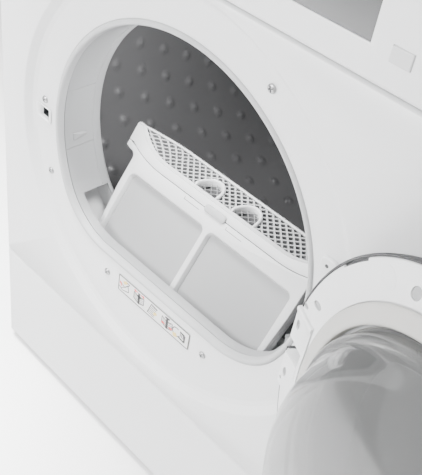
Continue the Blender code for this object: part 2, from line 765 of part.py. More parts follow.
def water_tank(m):
    obj = rounded_tray("tank_drawer_front", -HALF_W, -150, FASCIA_Z + 0.5, DECK_Z - 0.8, m["fascia"], t=3.0)
    cut = box("cut_grip", (-262, -16, 280), (-186, -8.4, 300))
    boolean(obj, [cut])
    tank = box("water_tank", (-282, 14.6, 276), (-184, 470, 346), m["light"])
    cuts = [box("cut_tank_inside", (-279, 17.6, 279), (-187, 467, 343))]
    cuts.append(turned_z("cut_tank_fill", [(12, 330), (12, 360)], None, -236, 420, 20))
    boolean(tank, cuts)


def rear_inlet(m):
    turned("mains_gland", [(9, 589.7), (13, 589.7), (13, 593), (10, 594), (8, 600)], m["black"], 236, 322, 20)


def build():
    clear_scene()
    m = materials()
    front_panel(m)
    kick_panel(m)
    control_fascia(m)
    controls(m)
    side_panel("side_panel_left", -1, m)
    side_panel("side_panel_right", 1, m)
    rear_panel(m)
    worktop(m)
    base_tray(m)
    port_ring(m)
    filter_duct(m)
    lip_details(m)
    door(m)
    door_hinge(m)
    filter_halves(m)
    drum(m)
    drive(m)
    water_tank(m)
    rear_inlet(m)


build()
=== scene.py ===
"""Looks for the clothes dryer: a white front with a round door recess, a light grey port ring,
a bumped steel drum, a lint filter lifted out of its slot, and an open door with a glass bowl.

Shapes are worked out in millimetres from the port's centre on the lip plane: X across,
Y into the machine and Z up. The filter has its own axes: u across, v down its face and
w out of its face.
"""

import json
from math import atan2, cos, hypot, pi, radians, remainder, sin, sqrt

import bmesh
import bpy
from mathutils import Matrix, Vector

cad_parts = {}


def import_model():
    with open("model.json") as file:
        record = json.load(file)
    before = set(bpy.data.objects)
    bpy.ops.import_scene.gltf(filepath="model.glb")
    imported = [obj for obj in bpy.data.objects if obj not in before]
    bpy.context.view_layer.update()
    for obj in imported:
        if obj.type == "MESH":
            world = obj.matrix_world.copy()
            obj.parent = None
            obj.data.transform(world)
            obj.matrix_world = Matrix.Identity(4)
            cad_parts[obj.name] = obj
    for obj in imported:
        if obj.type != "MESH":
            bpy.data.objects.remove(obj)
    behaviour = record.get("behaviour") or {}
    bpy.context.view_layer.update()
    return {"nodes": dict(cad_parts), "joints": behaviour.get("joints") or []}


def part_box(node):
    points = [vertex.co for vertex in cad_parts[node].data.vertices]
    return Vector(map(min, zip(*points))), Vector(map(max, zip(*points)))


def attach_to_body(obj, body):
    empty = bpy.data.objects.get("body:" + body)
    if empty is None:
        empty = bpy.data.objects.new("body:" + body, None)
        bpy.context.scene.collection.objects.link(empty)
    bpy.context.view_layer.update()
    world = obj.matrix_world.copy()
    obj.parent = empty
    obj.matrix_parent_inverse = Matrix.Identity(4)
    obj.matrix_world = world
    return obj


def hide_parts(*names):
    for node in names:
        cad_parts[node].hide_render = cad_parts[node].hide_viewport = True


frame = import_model()
nodes = frame["nodes"]
joints = {joint["name"]: joint for joint in frame["joints"]}

# ---- driving sizes

MM = 0.001
HINGE = Vector(joints["door_hinge"]["pos_m"])
PORT_Z = HINGE.z / MM
LIP_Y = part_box("instruction_label")[1].y / MM + 0.3
HALF_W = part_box("front_panel")[1].x / MM
PANEL_Z0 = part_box("front_panel")[0].z / MM - PORT_Z
PANEL_Z1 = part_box("front_panel")[1].z / MM - PORT_Z
FACE_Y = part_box("front_panel")[0].y / MM - LIP_Y
HINGE_X = HINGE.x / MM
HINGE_Y = HINGE.y / MM - LIP_Y
DOOR_OPEN = -joints["door_hinge"]["range_deg"][0]
FLOOR_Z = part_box("foot_1")[0].z

PORT_R = 192.5
PORT_FLAT = 131.5
PORT_FILLET = 85.0
PORT_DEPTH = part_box("port_ring")[1].y / MM - LIP_Y - 3.0
RECESS_R = 250.0
RECESS_IN = 238.0

DRUM_R = 287.0
DRUM_MOUTH_R = 265.0
SLEEVE_R = 284.0
DRUM_Z = joints["drum_spin"]["pos_m"][2] / MM - PORT_Z
DRUM_Y0 = 70.0
DRUM_Y1 = 520.0
BUMP_PITCH_Y = 44.1
BUMPS_ROUND = 45
BUMP_HEIGHT = 3.6
BUMP_R = 9.5
BUMP_ROW_Y = 162.7
BUMP_TURN = 0.33

NOTCH = 10.4
TILT = radians(33.6)
FILT_Y = 59.9
FILT_Z = -89.4
FILT_W = 147.0
FILT_EAR = 165.6
FILT_BOTTOM = 78.0
EAR_RISE = 25.0
FINGERS = ((-47.5, -14.5), (14.5, 47.5))
FINGER_DEPTH = 26.0
SLOT_HALF_W = 172.0
SLOT_Y0 = 20.0
SLOT_Y1 = 58.6
SLOT_TOP = -98.0

FINE = 240
THIN = 0.3
STROKE = 3.0
THREAD = 0.00045

CAMERA_LENS = 60.44
CAMERA_AT = (0.4592, LIP_Y * MM - 0.4920, PORT_Z * MM + 0.5372)
CAMERA_TURN = (49.199, -8.016, 45.405)
STUDIO_AIM = (0.0, -0.29, 0.45)
STUDIO_HALF = 6.0


# ---- mesh helpers

def world(p):
    return Vector((p[0] * MM, (p[1] + LIP_Y) * MM, (p[2] + PORT_Z) * MM))


def on_door(p):
    """A point drawn with the door shut, swung to where the open door has it."""
    turn = Matrix.Rotation(radians(DOOR_OPEN), 3, "Z")
    return HINGE + turn @ (world(p) - HINGE)


def on_filter(p):
    u, v, w = p
    c, s = cos(TILT), sin(TILT)
    return world((u, FILT_Y - v * s - w * c, FILT_Z - v * c + w * s))


def build(name, verts, faces, mats, place=world, angle=35.0, face_mats=None):
    """One smooth mesh piece from points in millimetres."""
    mesh = bpy.data.meshes.new(name)
    bm = bmesh.new()
    made = [bm.verts.new(place(v)) for v in verts]
    for k, face in enumerate(faces):
        made_face = bm.faces.new([made[i] for i in face])
        if face_mats:
            made_face.material_index = face_mats[k]
    bmesh.ops.recalc_face_normals(bm, faces=bm.faces)
    bm.to_mesh(mesh)
    bm.free()
    for mat in mats if isinstance(mats, (list, tuple)) else [mats]:
        mesh.materials.append(mat)
    smooth(mesh, angle)
    obj = bpy.data.objects.new(name, mesh)
    bpy.context.scene.collection.objects.link(obj)
    return obj


def smooth(mesh, angle):
    mesh.shade_smooth()
    mesh.set_sharp_from_angle(angle=radians(angle))


def strip(a, b, n):
    return [(a + i, a + (i + 1) % n, b + (i + 1) % n, b + i) for i in range(n)]


def add_prism(verts, faces, front, back):
    """Adds a closed prism between two outlines to the points and faces of a piece."""
    base, n = len(verts), len(front)
    verts += front + back
    faces += [tuple(range(base, base + n)), tuple(range(base + n, base + 2 * n))]
    faces += strip(base, base + n, n)


def torus(name, loops, mat, place=world, angle=35.0):
    """A closed ring: each loop joins the next, and the last joins the first."""
    n = len(loops[0])
    verts = [p for loop in loops for p in loop]
    faces = []
    for k in range(len(loops)):
        faces += strip(k * n, ((k + 1) % len(loops)) * n, n)
    return build(name, verts, faces, mat, place, angle)


def loft(name, loops, mat, place=world, angle=35.0):
    """A closed body: loops joined in order, with a flat cap at each end."""
    n = len(loops[0])
    verts = [p for loop in loops for p in loop]
    faces = [tuple(range(n)), tuple(range(len(verts) - n, len(verts)))]
    for k in range(len(loops) - 1):
        faces += strip(k * n, (k + 1) * n, n)
    return build(name, verts, faces, mat, place, angle)


def box(name, lo, hi, mat=None, place=world):
    ring = [(lo[0], lo[1]), (hi[0], lo[1]), (hi[0], hi[1]), (lo[0], hi[1])]
    loops = [[(x, y, z) for x, y in ring] for z in (lo[2], hi[2])]
    return loft(name, loops, mat, place)


def at(y, shape):
    """An outline in x and z as points at one y."""
    return [(x, y, z) for x, z in shape]


def slab(name, shape, levels, mat, place=world):
    """A closed body with one outline in x and z, drawn at each level of y."""
    return loft(name, [at(y, shape) for y in levels], mat, place)


def bake(obj, angle):
    """Applies the piece's modifiers to its mesh."""
    bpy.context.view_layer.update()
    shaped = obj.evaluated_get(bpy.context.evaluated_depsgraph_get())
    mesh = bpy.data.meshes.new_from_object(shaped)
    obj.modifiers.clear()
    obj.data = mesh
    smooth(mesh, angle)
    return obj


def cut(obj, cutters, operation="DIFFERENCE", angle=35.0):
    for cutter in cutters:
        mod = obj.modifiers.new("cut", "BOOLEAN")
        mod.operation = operation
        mod.solver = "EXACT"
        mod.object = cutter
    bake(obj, angle)
    for cutter in cutters:
        bpy.data.objects.remove(cutter, do_unlink=True)
    return obj


def round_edges(obj, width, segments, limit=40.0):
    mod = obj.modifiers.new("round", "BEVEL")
    mod.width = width * MM
    mod.segments = segments
    mod.limit_method = "ANGLE"
    mod.angle_limit = radians(limit)
    mod.harden_normals = False
    mod.miter_outer = "MITER_ARC"
    return bake(obj, 50.0)


def circle(r, y, cx, cz, n):
    step = 2 * pi / n
    return [(cx + r * cos(i * step), y, cz + r * sin(i * step)) for i in range(n)]


def lathe(name, profile, mat, cx=0.0, cz=0.0, n=FINE, place=world, angle=35.0):
    return torus(name, [circle(r, y, cx, cz, n) for r, y in profile], mat, place, angle)


def turned(name, profile, mat, cx=0.0, cz=0.0, n=48, place=world, angle=35.0):
    return loft(name, [circle(r, y, cx, cz, n) for r, y in profile], mat, place, angle)


def port(off, y):
    """The port's outline: a circle with a flat at the bottom and filleted corners."""
    r = PORT_R + off
    zb = -(PORT_FLAT + off)
    rc = PORT_FILLET + off
    zc = zb + rc
    xc = sqrt((r - rc) ** 2 - zc * zc)
    start = atan2(zc, xc)
    pts = []
    corner = FINE // 8
    flat = FINE // 16
    top = FINE - 2 * corner - flat
    for i in range(top + 1):
        a = start + (pi - 2 * start) * i / top
        pts.append((r * cos(a), y, r * sin(a)))
    side = pi - start
    for i in range(1, corner + 1):
        a = side + (1.5 * pi - side) * i / corner
        pts.append((-xc + rc * cos(a), y, zc + rc * sin(a)))
    for i in range(1, flat):
        pts.append((-xc + 2 * xc * i / flat, y, zb))
    for i in range(corner):
        a = -0.5 * pi + (start + 0.5 * pi) * i / corner
        pts.append((xc + rc * cos(a), y, zc + rc * sin(a)))
    return pts


def ports(*rows):
    """The port's outline at each pair of offset and y."""
    return [port(off, y) for off, y in rows]


PORT_ANGLES = [atan2(z, x) for x, _, z in port(0, 0)]


def matched_circle(r, y, cz=0.0):
    """A circle whose points lie at the same angles as the port's."""
    pts = []
    for a in PORT_ANGLES:
        s, c = sin(a), cos(a)
        reach = cz * s + sqrt(r * r - (cz * c) ** 2)
        pts.append((reach * c, y, reach * s))
    return pts


def matched_circles(*rows):
    return [matched_circle(r, y) for r, y in rows]


def matched_rect(half_x, z0, z1, y):
    """A square-cornered rectangle whose points lie at the same angles as the port's."""
    pts = []
    for a in PORT_ANGLES:
        s, c = sin(a), cos(a)
        tx = half_x / abs(c) if abs(c) > 1e-6 else 1e9
        tz = (z1 / s if s > 0 else z0 / s) if abs(s) > 1e-6 else 1e9
        t = min(tx, tz)
        pts.append((t * c, y, t * s))
    for cx, cz in ((half_x, z1), (-half_x, z1), (-half_x, z0), (half_x, z0)):
        corner = atan2(cz, cx)
        gaps = [abs(remainder(a - corner, 2 * pi)) for a in PORT_ANGLES]
        pts[gaps.index(min(gaps))] = (cx, y, cz)
    return pts


def arc(cx, cy, r, a0, a1, n):
    pts = []
    for i in range(n + 1):
        a = radians(a0 + (a1 - a0) * i / n)
        pts.append((cx + r * cos(a), cy + r * sin(a)))
    return pts


def rounded(x0, y0, x1, y1, r):
    pts = []
    centres = ((x1 - r, y1 - r), (x0 + r, y1 - r), (x0 + r, y0 + r), (x1 - r, y0 + r))
    for k, (cx, cy) in enumerate(centres):
        pts += arc(cx, cy, r, 90 * k, 90 * (k + 1), 6)
    return pts


def oval(x, z, a, b, turn=0.0, n=32):
    """An ellipse round a point, turned by an angle in degrees."""
    c, s = cos(radians(turn)), sin(radians(turn))
    pts = []
    for i in range(n):
        p, q = a * cos(2 * pi * i / n), b * sin(2 * pi * i / n)
        pts.append((x + p * c - q * s, z + p * s + q * c))
    return pts


def attach(obj, body, node=None):
    """Puts a piece on its body, and hides the CAD node it stands in for if there is one."""
    if node:
        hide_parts(node)
    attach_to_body(obj, body)


# ---- materials

def surface(mat):
    return mat.node_tree.nodes["Principled BSDF"]


def shader(name, colour, rough, metal=0.0):
    mat = bpy.data.materials.new(name)
    mat.use_nodes = True
    bsdf = surface(mat)
    bsdf.inputs["Base Color"].default_value = (*colour, 1.0)
    bsdf.inputs["Roughness"].default_value = rough
    bsdf.inputs["Metallic"].default_value = metal
    return mat


def node(mat, kind, source, inlet, **values):
    """A new shader node with the given inputs and a link into one of them."""
    made = mat.node_tree.nodes.new("ShaderNode" + kind)
    for name, value in values.items():
        made.inputs[name.replace("_", " ")].default_value = value
    mat.node_tree.links.new(source, made.inputs[inlet])
    return made


def drive(mat, source, inlet):
    mat.node_tree.links.new(source, surface(mat).inputs[inlet])


def noise(mat, scale, detail=3.0, stretch=(1, 1, 1)):
    coord = mat.node_tree.nodes.new("ShaderNodeTexCoord")
    mapping = node(mat, "Mapping", coord.outputs["Object"], "Vector", Scale=stretch)
    tex = node(mat, "TexNoise", mapping.outputs["Vector"], "Vector", Scale=scale, Detail=detail)
    return tex.outputs["Fac"]


def uneven(mat, source, low, high):
    """Lets the roughness run between two values."""
    ramp = node(mat, "MapRange", source, "Value", To_Min=low, To_Max=high)
    drive(mat, ramp.outputs["Result"], "Roughness")


def tint(mat, source, dark, light):
    ramp = node(mat, "ValToRGB", source, "Fac")
    for k, (place, colour) in enumerate(((0.35, dark), (0.65, light))):
        ramp.color_ramp.elements[k].position = place
        ramp.color_ramp.elements[k].color = (*colour, 1.0)
    drive(mat, ramp.outputs["Color"], "Base Color")


def bump(mat, source, strength, distance):
    made = node(mat, "Bump", source, "Height", Strength=strength, Distance=distance)
    drive(mat, made.outputs["Normal"], "Normal")


def scaled(colour, k):
    return tuple(min(1.0, c * k) for c in colour)


def plastic(name, colour, rough, grain=1600.0, depth=0.15, coat=0.0):
    """Moulded plastic: a fine spark-eroded grain and slightly uneven gloss."""
    mat = shader(name, colour, rough)
    tint(mat, noise(mat, 9.0), scaled(colour, 0.975), scaled(colour, 1.02))
    uneven(mat, noise(mat, 40.0), rough - 0.04, rough + 0.06)
    bump(mat, noise(mat, grain, 2.0), depth, 0.00008)
    surface(mat).inputs["Coat Weight"].default_value = coat
    return mat


def enamel(name, colour):
    """Stove enamel on steel: a clear gloss over a faint orange peel."""
    mat = shader(name, colour, 0.32)
    tint(mat, noise(mat, 5.0), scaled(colour, 0.985), scaled(colour, 1.01))
    uneven(mat, noise(mat, 30.0), 0.28, 0.37)
    bump(mat, noise(mat, 320.0, 2.0), 0.12, 0.00012)
    surface(mat).inputs["Coat Weight"].default_value = 0.25
    surface(mat).inputs["Coat Roughness"].default_value = 0.12
    return mat


def metal(name, colour, rough, stretch=(1, 1, 1), scale=400.0, depth=0.2):
    """Bare or plated metal with a drawn or rolled grain along the short stretch."""
    mat = shader(name, colour, rough, 1.0)
    uneven(mat, noise(mat, scale, 4.0, stretch), rough - 0.06, rough + 0.1)
    tint(mat, noise(mat, 14.0), scaled(colour, 0.93), scaled(colour, 1.04))
    bump(mat, noise(mat, scale, 3.0, stretch), depth, 0.00006)
    return mat


def drum_steel():
    mat = shader("drum_steel", (0.30, 0.30, 0.305), 0.42, 0.35)
    uneven(mat, noise(mat, 260.0, 4.0, (1, 0.05, 1)), 0.36, 0.5)
    tint(mat, noise(mat, 6.0), (0.125, 0.125, 0.128), (0.14, 0.14, 0.143))
    bump(mat, noise(mat, 500.0, 3.0, (1, 0.05, 1)), 0.1, 0.00005)
    return mat


def woven(name, colour):
    """A fine plain weave: two crossing wave patterns in bump and tone."""
    mat = shader(name, colour, 0.75)
    coord = mat.node_tree.nodes.new("ShaderNodeTexCoord")
    turn = node(mat, "Mapping", coord.outputs["Object"], "Vector", Rotation=(TILT, 0.0, 0.0))
    waves = []
    scale = 0.314 / (THREAD * 2.0)
    for axis in ("X", "Z"):
        wave = node(mat, "TexWave", turn.outputs["Vector"], "Vector", Scale=scale, Distortion=0.0)
        wave.bands_direction = axis
        waves.append(wave)
    both = node(mat, "Math", waves[0].outputs["Fac"], 0)
    both.operation = "MULTIPLY"
    mat.node_tree.links.new(waves[1].outputs["Fac"], both.inputs[1])
    tint(mat, both.outputs["Value"], scaled(colour, 0.9), scaled(colour, 1.05))
    bump(mat, both.outputs["Value"], 0.3, 0.0002)
    surface(mat).inputs["Sheen Weight"].default_value = 0.2
    return mat


def glass(name, colour):
    mat = shader(name, colour, 0.03)
    surface(mat).inputs["Transmission Weight"].default_value = 0.85
    surface(mat).inputs["IOR"].default_value = 1.45
    uneven(mat, noise(mat, 12.0), 0.02, 0.06)
    return mat


def rubber(name, colour, rough):
    mat = shader(name, colour, rough)
    tint(mat, noise(mat, 18.0), scaled(colour, 0.96), scaled(colour, 1.03))
    bump(mat, noise(mat, 900.0, 2.0), 0.2, 0.0001)
    uneven(mat, noise(mat, 60.0), rough - 0.05, rough + 0.08)
    return mat


WHITE = enamel("white_enamel", (0.765, 0.77, 0.775))
FASCIA = plastic("white_plastic", (0.78, 0.785, 0.79), 0.38, coat=0.1)
FILTER = plastic("filter_plastic", (0.67, 0.675, 0.68), 0.42)
RING = plastic("port_plastic", (0.32, 0.325, 0.33), 0.42)
# Grey of the filter latch button, also laid on the rolled lip of the white enamel front as painted shade.
LIP_SHADE_AND_LATCH_GREY = plastic("lip_painted_shade_and_latch_grey", (0.44, 0.445, 0.45), 0.42)
GREY = plastic("light_grey_plastic", (0.60, 0.605, 0.61), 0.45)
GRILLE = plastic("grille_plastic", (0.44, 0.445, 0.45), 0.42)
# Darker grey for the grille's hole walls and the finger-hole floors: painted shade in the holes.
GRILLE_WALL_SHADE = plastic("grille_wall_painted_shade", (0.20, 0.202, 0.205), 0.5)
# Near-black painted shade for the hollow inside of the filter head and the gap along its split line.
INSIDE_SHADE = rubber("filter_inside_painted_shade", (0.05, 0.05, 0.052), 0.8)
RIM = rubber("door_rim_plastic", (0.04, 0.04, 0.042), 0.8)
CLIP = plastic("clip_plastic", (0.12, 0.12, 0.125), 0.5)
# Mid grey sunk in the oval recesses of the door ring and hinge cover: painted shade in the recesses.
RECESS_SHADE = plastic("recess_painted_shade", (0.28, 0.283, 0.287), 0.45)
# Dark grey of the drum lifters, also used as painted shade in the latch keeper's well and the hinge cover's
# small hole.
DARK_GREY_AND_HOLE_SHADE = plastic("dark_grey_plastic", (0.05, 0.053, 0.057), 0.38)
# Black of the mains gland and fan wheel, also used as painted shade at the bottom of screw recesses and in
# holes.
BLACK_AND_HOLE_SHADE = plastic("black_plastic", (0.02, 0.02, 0.022), 0.45)
DRUM = drum_steel()
GALV = metal("galvanised_steel", (0.55, 0.56, 0.57), 0.42, scale=120.0)
ZINC = metal("zinc_plated_steel", (0.42, 0.42, 0.425), 0.34, scale=200.0, depth=0.05)
CHROME = metal("chromed_steel", (0.72, 0.72, 0.73), 0.18, scale=200.0, depth=0.05)
BRUSHED = metal("brushed_steel", (0.60, 0.60, 0.61), 0.28, (1, 1, 40), 60.0)
SEAL = rubber("beige_seal", (0.455, 0.447, 0.427), 0.5)
RUBBER = rubber("black_rubber", (0.03, 0.03, 0.03), 0.7)
FELT = rubber("grey_felt", (0.36, 0.35, 0.34), 0.9)
MESH = woven("filter_gauze", (0.385, 0.389, 0.393))
GLASS = glass("bowl_glass", (0.50, 0.505, 0.505))
LABEL = plastic("label_film", (0.82, 0.82, 0.81), 0.5, 500.0, 0.05)
INK = plastic("label_ink", (0.03, 0.03, 0.03), 0.5, 500.0, 0.05)
RED = plastic("label_red", (0.75, 0.05, 0.05), 0.5, 500.0, 0.05)
YELLOW = plastic("label_yellow", (0.80, 0.62, 0.20), 0.5, 500.0, 0.05)
SCREEN = plastic("display_glass", (0.01, 0.011, 0.013), 0.1, 500.0, 0.02, 0.6)
CAST = plastic("painted_casting", (0.10, 0.10, 0.105), 0.55, 300.0, 0.5)
FINS = metal("aluminium_fins", (0.70, 0.71, 0.72), 0.4, (1, 1, 1), 300.0)


# ---- cabinet front

def front_skin():
    """The enamelled front: rounded edges, a bevelled round recess and a rolled lip."""
    z0, z1 = PANEL_Z0, PANEL_Z1
    thick = 1.2
    loops = [matched_rect(HALF_W, z0, z1, 14)]
    for k in range(6):
        a = radians(18 * k)
        inset = 7.0 * (1 - cos(a))
        ease = 0.15 * inset
        loops.append(matched_rect(HALF_W - inset, z0 + ease, z1 - ease, -3 - 7 * sin(a)))
    loops += matched_circles((RECESS_R + 1.5, FACE_Y), (RECESS_R, FACE_Y + 0.15),
                             (RECESS_R - 1.5, FACE_Y + 0.9), (RECESS_IN + 2.2, -1.2),
                             (RECESS_IN + 0.4, -0.25), (RECESS_IN - 2, 0))
    lip_from = len(loops) + 1
    loops += ports((8.5, 0), (7.6, 0.4), (7.0, 0.9), (6.2, -0.6), (5.0, -1.4), (3.5, -1.7), (2, -1.2),
                   (0.9, 0.2), (0.4, 2.2))
    lip_to = len(loops) + 1
    loops += ports((0.2, 7.5), (1.4, 7.5), (1.4, 3.4), (5.0, thick))
    loops += matched_circles((RECESS_IN - 2, thick), (RECESS_R + 0.6, FACE_Y + thick))
    loops.append(matched_rect(HALF_W - 8, z0 + 3.5, z1 - 3.5, FACE_Y + thick))
    for y in (-2, 14):
        loops.append(matched_rect(HALF_W - thick, z0 + thick, z1 - thick, y))
    skin = torus("front_skin", loops, WHITE, angle=50.0)
    # The rolled lip's faces take the grey: painted shade on the white enamel bead.
    skin.data.materials.append(LIP_SHADE_AND_LATCH_GREY)
    for k in range(FINE * lip_from, FINE * lip_to):
        skin.data.polygons[k].material_index = 1
    cut(skin, [box("cutter", (-228.0, -6, -8), (-211.8, 12, 6))], angle=50.0)
    attach(skin, "cabinet", "front_panel")


def port_sleeve():
    """The plastic ring between lip and drum, with the filter slot through its bottom."""
    loops = ports((2.0, 8.2), (0.6, 8.6), (0.35, 9.4), (0.35, 22), (0.35, 50.5), (-0.35, 51.2),
                  (-0.35, PORT_DEPTH - 1.2), (0.2, PORT_DEPTH), (1.6, PORT_DEPTH + 1.6),
                  (3.2, PORT_DEPTH + 3))
    loops += [matched_circle(SLEEVE_R, y, DRUM_Z) for y in (PORT_DEPTH + 3, PORT_DEPTH)]
    loops += ports((5.0, PORT_DEPTH), (3.3, PORT_DEPTH - 2), (3.3, 24), (3.3, 8.2))
    sleeve = torus("port_sleeve", loops, RING, angle=40.0)
    cutters = [box("cutter", (-SLOT_HALF_W, SLOT_Y0, -200), (SLOT_HALF_W, SLOT_Y1, SLOT_TOP))]
    for x in (-151, 115):
        cutters.append(box("cutter", (x, 50, -127), (x + 36, 70, -80)))
    cut(sleeve, cutters)
    grooves = []
    for degrees in (168.0, 192.4, 12.0, -12.4, 90.0):
        a = radians(degrees)
        c, s = cos(a), sin(a)
        r0, r1 = PORT_R - 2.0, PORT_R + 1.0
        ring = []
        for y in (9.0, 50.8):
            for r, side in ((r0, -0.35), (r1, -0.35), (r1, 0.35), (r0, 0.35)):
                ring.append((c * r - s * side, y, s * r + c * side))
        grooves.append(loft("cutter", [ring[:4], ring[4:]], RING))
    cut(sleeve, grooves)
    attach(sleeve, "cabinet", "port_ring")
    for side, label in ((-1, "left"), (1, "right")):
        ear_pocket(side, label)


def hinge_end():
    """The rounded upper end of the hinge's mounting plate, with its fixing."""
    loops = []
    for y, grow in ((-THIN, 0.0), (-3.5, 0.0), (-4.2, -0.8)):
        shape = rounded(199.0 - grow, 65.0 - grow, 216.5 + grow, 79.6 + grow, 5.0 + grow)
        loops.append(at(y, shape))
    plate = loft("hinge_plate_end", loops, FASCIA)
    attach(plate, "cabinet")
    # A black disc on the plate stands for its hole: painted shade.
    dot = turned("hinge_plate_hole_shade", [(2.0, -3.6), (2.0, -4.3)], BLACK_AND_HOLE_SHADE, 206.6, 71.5, 24)
    attach(dot, "cabinet")


def port_piece(off, side, x0, top):
    """The port's outline, moved out by off, where it is below top and farther out than x0."""
    found = sorted((z, x) for x, _, z in port(off, 0) if z <= top and x0 <= x)
    return [(side * x, z) for z, x in reversed(found)]


def ear_pocket(side, label):
    """The lined recess at one end of the filter slot, where the lowered filter's ear rests."""
    shells = []
    outside = (18.4, 61.0, 32.6, 2.8, -96.6, 149.6)
    inside = (20.0, 59.4, 31.2, -6.0, -98.0, 140.0)
    for y0, y1, off, edge, top, x0 in (outside, inside):
        outline = port_piece(off, side, x0, top)
        outline += reversed(port_piece(edge, side, x0, top))
        if side < 0:
            outline.reverse()
        shells.append(slab("ear_pocket_" + label, outline, (y0, y1), GREY))
    block = cut(shells[0], [shells[1]])
    attach(block, "cabinet")


def sleeve_clip():
    """The small moulded catch on the left of the sleeve."""
    a = radians(188.2)
    c, s = cos(a), sin(a)
    loops = []
    rows = ((PORT_R + 1.0, 20, 41, 5.0), (PORT_R - 1.0, 21, 40, 4.4), (PORT_R - 2.2, 31, 39, 2.0))
    for r, y0, y1, half in rows:
        ring = []
        for y, side in ((y0, -half), (y1, -0.3 * half), (y1, 0.3 * half), (y0, half)):
            ring.append((c * r - s * side, y, s * r + c * side))
        loops.append(ring)
    clip = loft("sleeve_clip", loops, RING)
    round_edges(clip, 0.5, 2)
    attach(clip, "cabinet")


def screw_heads():
    """Pan heads with a cross recess, one for each screw node."""
    k = 1
    while "panel_screw_%d" % k in nodes:
        lo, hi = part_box("panel_screw_%d" % k)
        x = (lo.x + hi.x) / 2 / MM
        z = (lo.z + hi.z) / 2 / MM - PORT_Z
        r = (hi.x - lo.x) / 2 / MM
        profile = []
        for i in range(7):
            a = radians(15 * i)
            profile.append((r * cos(a) * 0.86 + 0.14 * r, -THIN - 0.6 - 2.0 * sin(a)))
        profile = [(r, -THIN)] + profile[:-1] + [(0.25 * r, -THIN - 2.6)]
        head = turned("screw_head_%d" % k, profile, ZINC, x, z, 40)
        turn = radians(20 + 31 * k)
        cutters = []
        for quarter in (0, 1):
            a = turn + quarter * pi / 2
            c, s = cos(a), sin(a)
            ring = []
            for along, side in ((-2.9, -0.7), (2.9, -0.7), (2.9, 0.7), (-2.9, 0.7)):
                ring.append((x + c * along - s * side, z + s * along + c * side))
            cutters.append(slab("cutter", ring, (-1.5, -4.0), CHROME))
        cut(head, cutters)
        attach(head, "cabinet", "panel_screw_%d" % k)
        # A black disc below the cross recess: painted shade in the recess.
        recess = turned("screw_recess_%d" % k, [(2.9, -1.0), (2.9, -1.9)], BLACK_AND_HOLE_SHADE, x, z, 24)
        attach(recess, "cabinet")
        k += 1


def lock_insert():
    """The latch keeper: a funnel-shaped mouth sloping to a small dark opening."""
    plate = slab("lock_insert", rounded(-236.0, -11.4, -206.8, 8.2, 2.6), (-THIN, -2.0), FASCIA)
    wide, narrow = (-232.6, -9.6, -210.0, 7.0), (-225.4, -6.4, -213.6, 4.4)
    loops = []
    for y, size in ((-6.0, wide), (-2.0, wide), (1.4, narrow)):
        loops.append(at(y, rounded(*size, 1.4)))
    hole = loft("cutter", loops, FASCIA)
    cut(plate, [hole])
    round_edges(plate, 0.4, 2)
    attach(plate, "cabinet", "door_lock")
    loops = []
    for y, size in ((-0.2, (-227.8, -7.8, -212.0, 5.8)), (1.4, narrow), (1.8, (-226.2, -7.2, -212.8, 5.2)),
                    (-0.1, (-227.9, -7.9, -211.9, 5.9))):
        loops.append(at(y, rounded(*size, 1.4)))
    funnel = torus("lock_funnel", loops, GREY)
    attach(funnel, "cabinet")
    # A dark box behind the funnel: painted shade that makes the opening look deep.
    well = box("lock_well_shade", (-226.8, 2.0, -7.8), (-212.2, 9.4, 5.8), DARK_GREY_AND_HOLE_SHADE)
    cut(well, [box("cutter", (-225.4, 1.0, -6.4), (-213.6, 8.4, 4.4), DARK_GREY_AND_HOLE_SHADE)])
    attach(well, "cabinet")


# ---- instruction label

def ribbon(points, weight, closed=False):
    """A flat line on the label: one thin quad for each stretch."""
    quads = []
    count = len(points) if closed else len(points) - 1
    width = weight * STROKE
    for i in range(count):
        (x0, z0), (x1, z1) = points[i], points[(i + 1) % len(points)]
        length = hypot(x1 - x0, z1 - z0) or 1.0
        ox = -(z1 - z0) / length * width / 2
        oz = (x1 - x0) / length * width / 2
        quads.append([(x0 + ox, z0 + oz), (x1 + ox, z1 + oz), (x1 - ox, z1 - oz), (x0 - ox, z0 - oz)])
    return quads


def shift(x, z, *points):
    return [(x + dx, z + dz) for dx, dz in points]


def arrow(x, z, degrees, size):
    a = radians(degrees)
    c, s = cos(a), sin(a)
    shape = [(-1.0, 0.28), (0.1, 0.28), (0.1, 0.7), (1.0, 0.0), (0.1, -0.7), (0.1, -0.28), (-1.0, -0.28)]
    return [[(x + size * (c * p - s * q), z + size * (s * p + c * q)) for p, q in shape]]


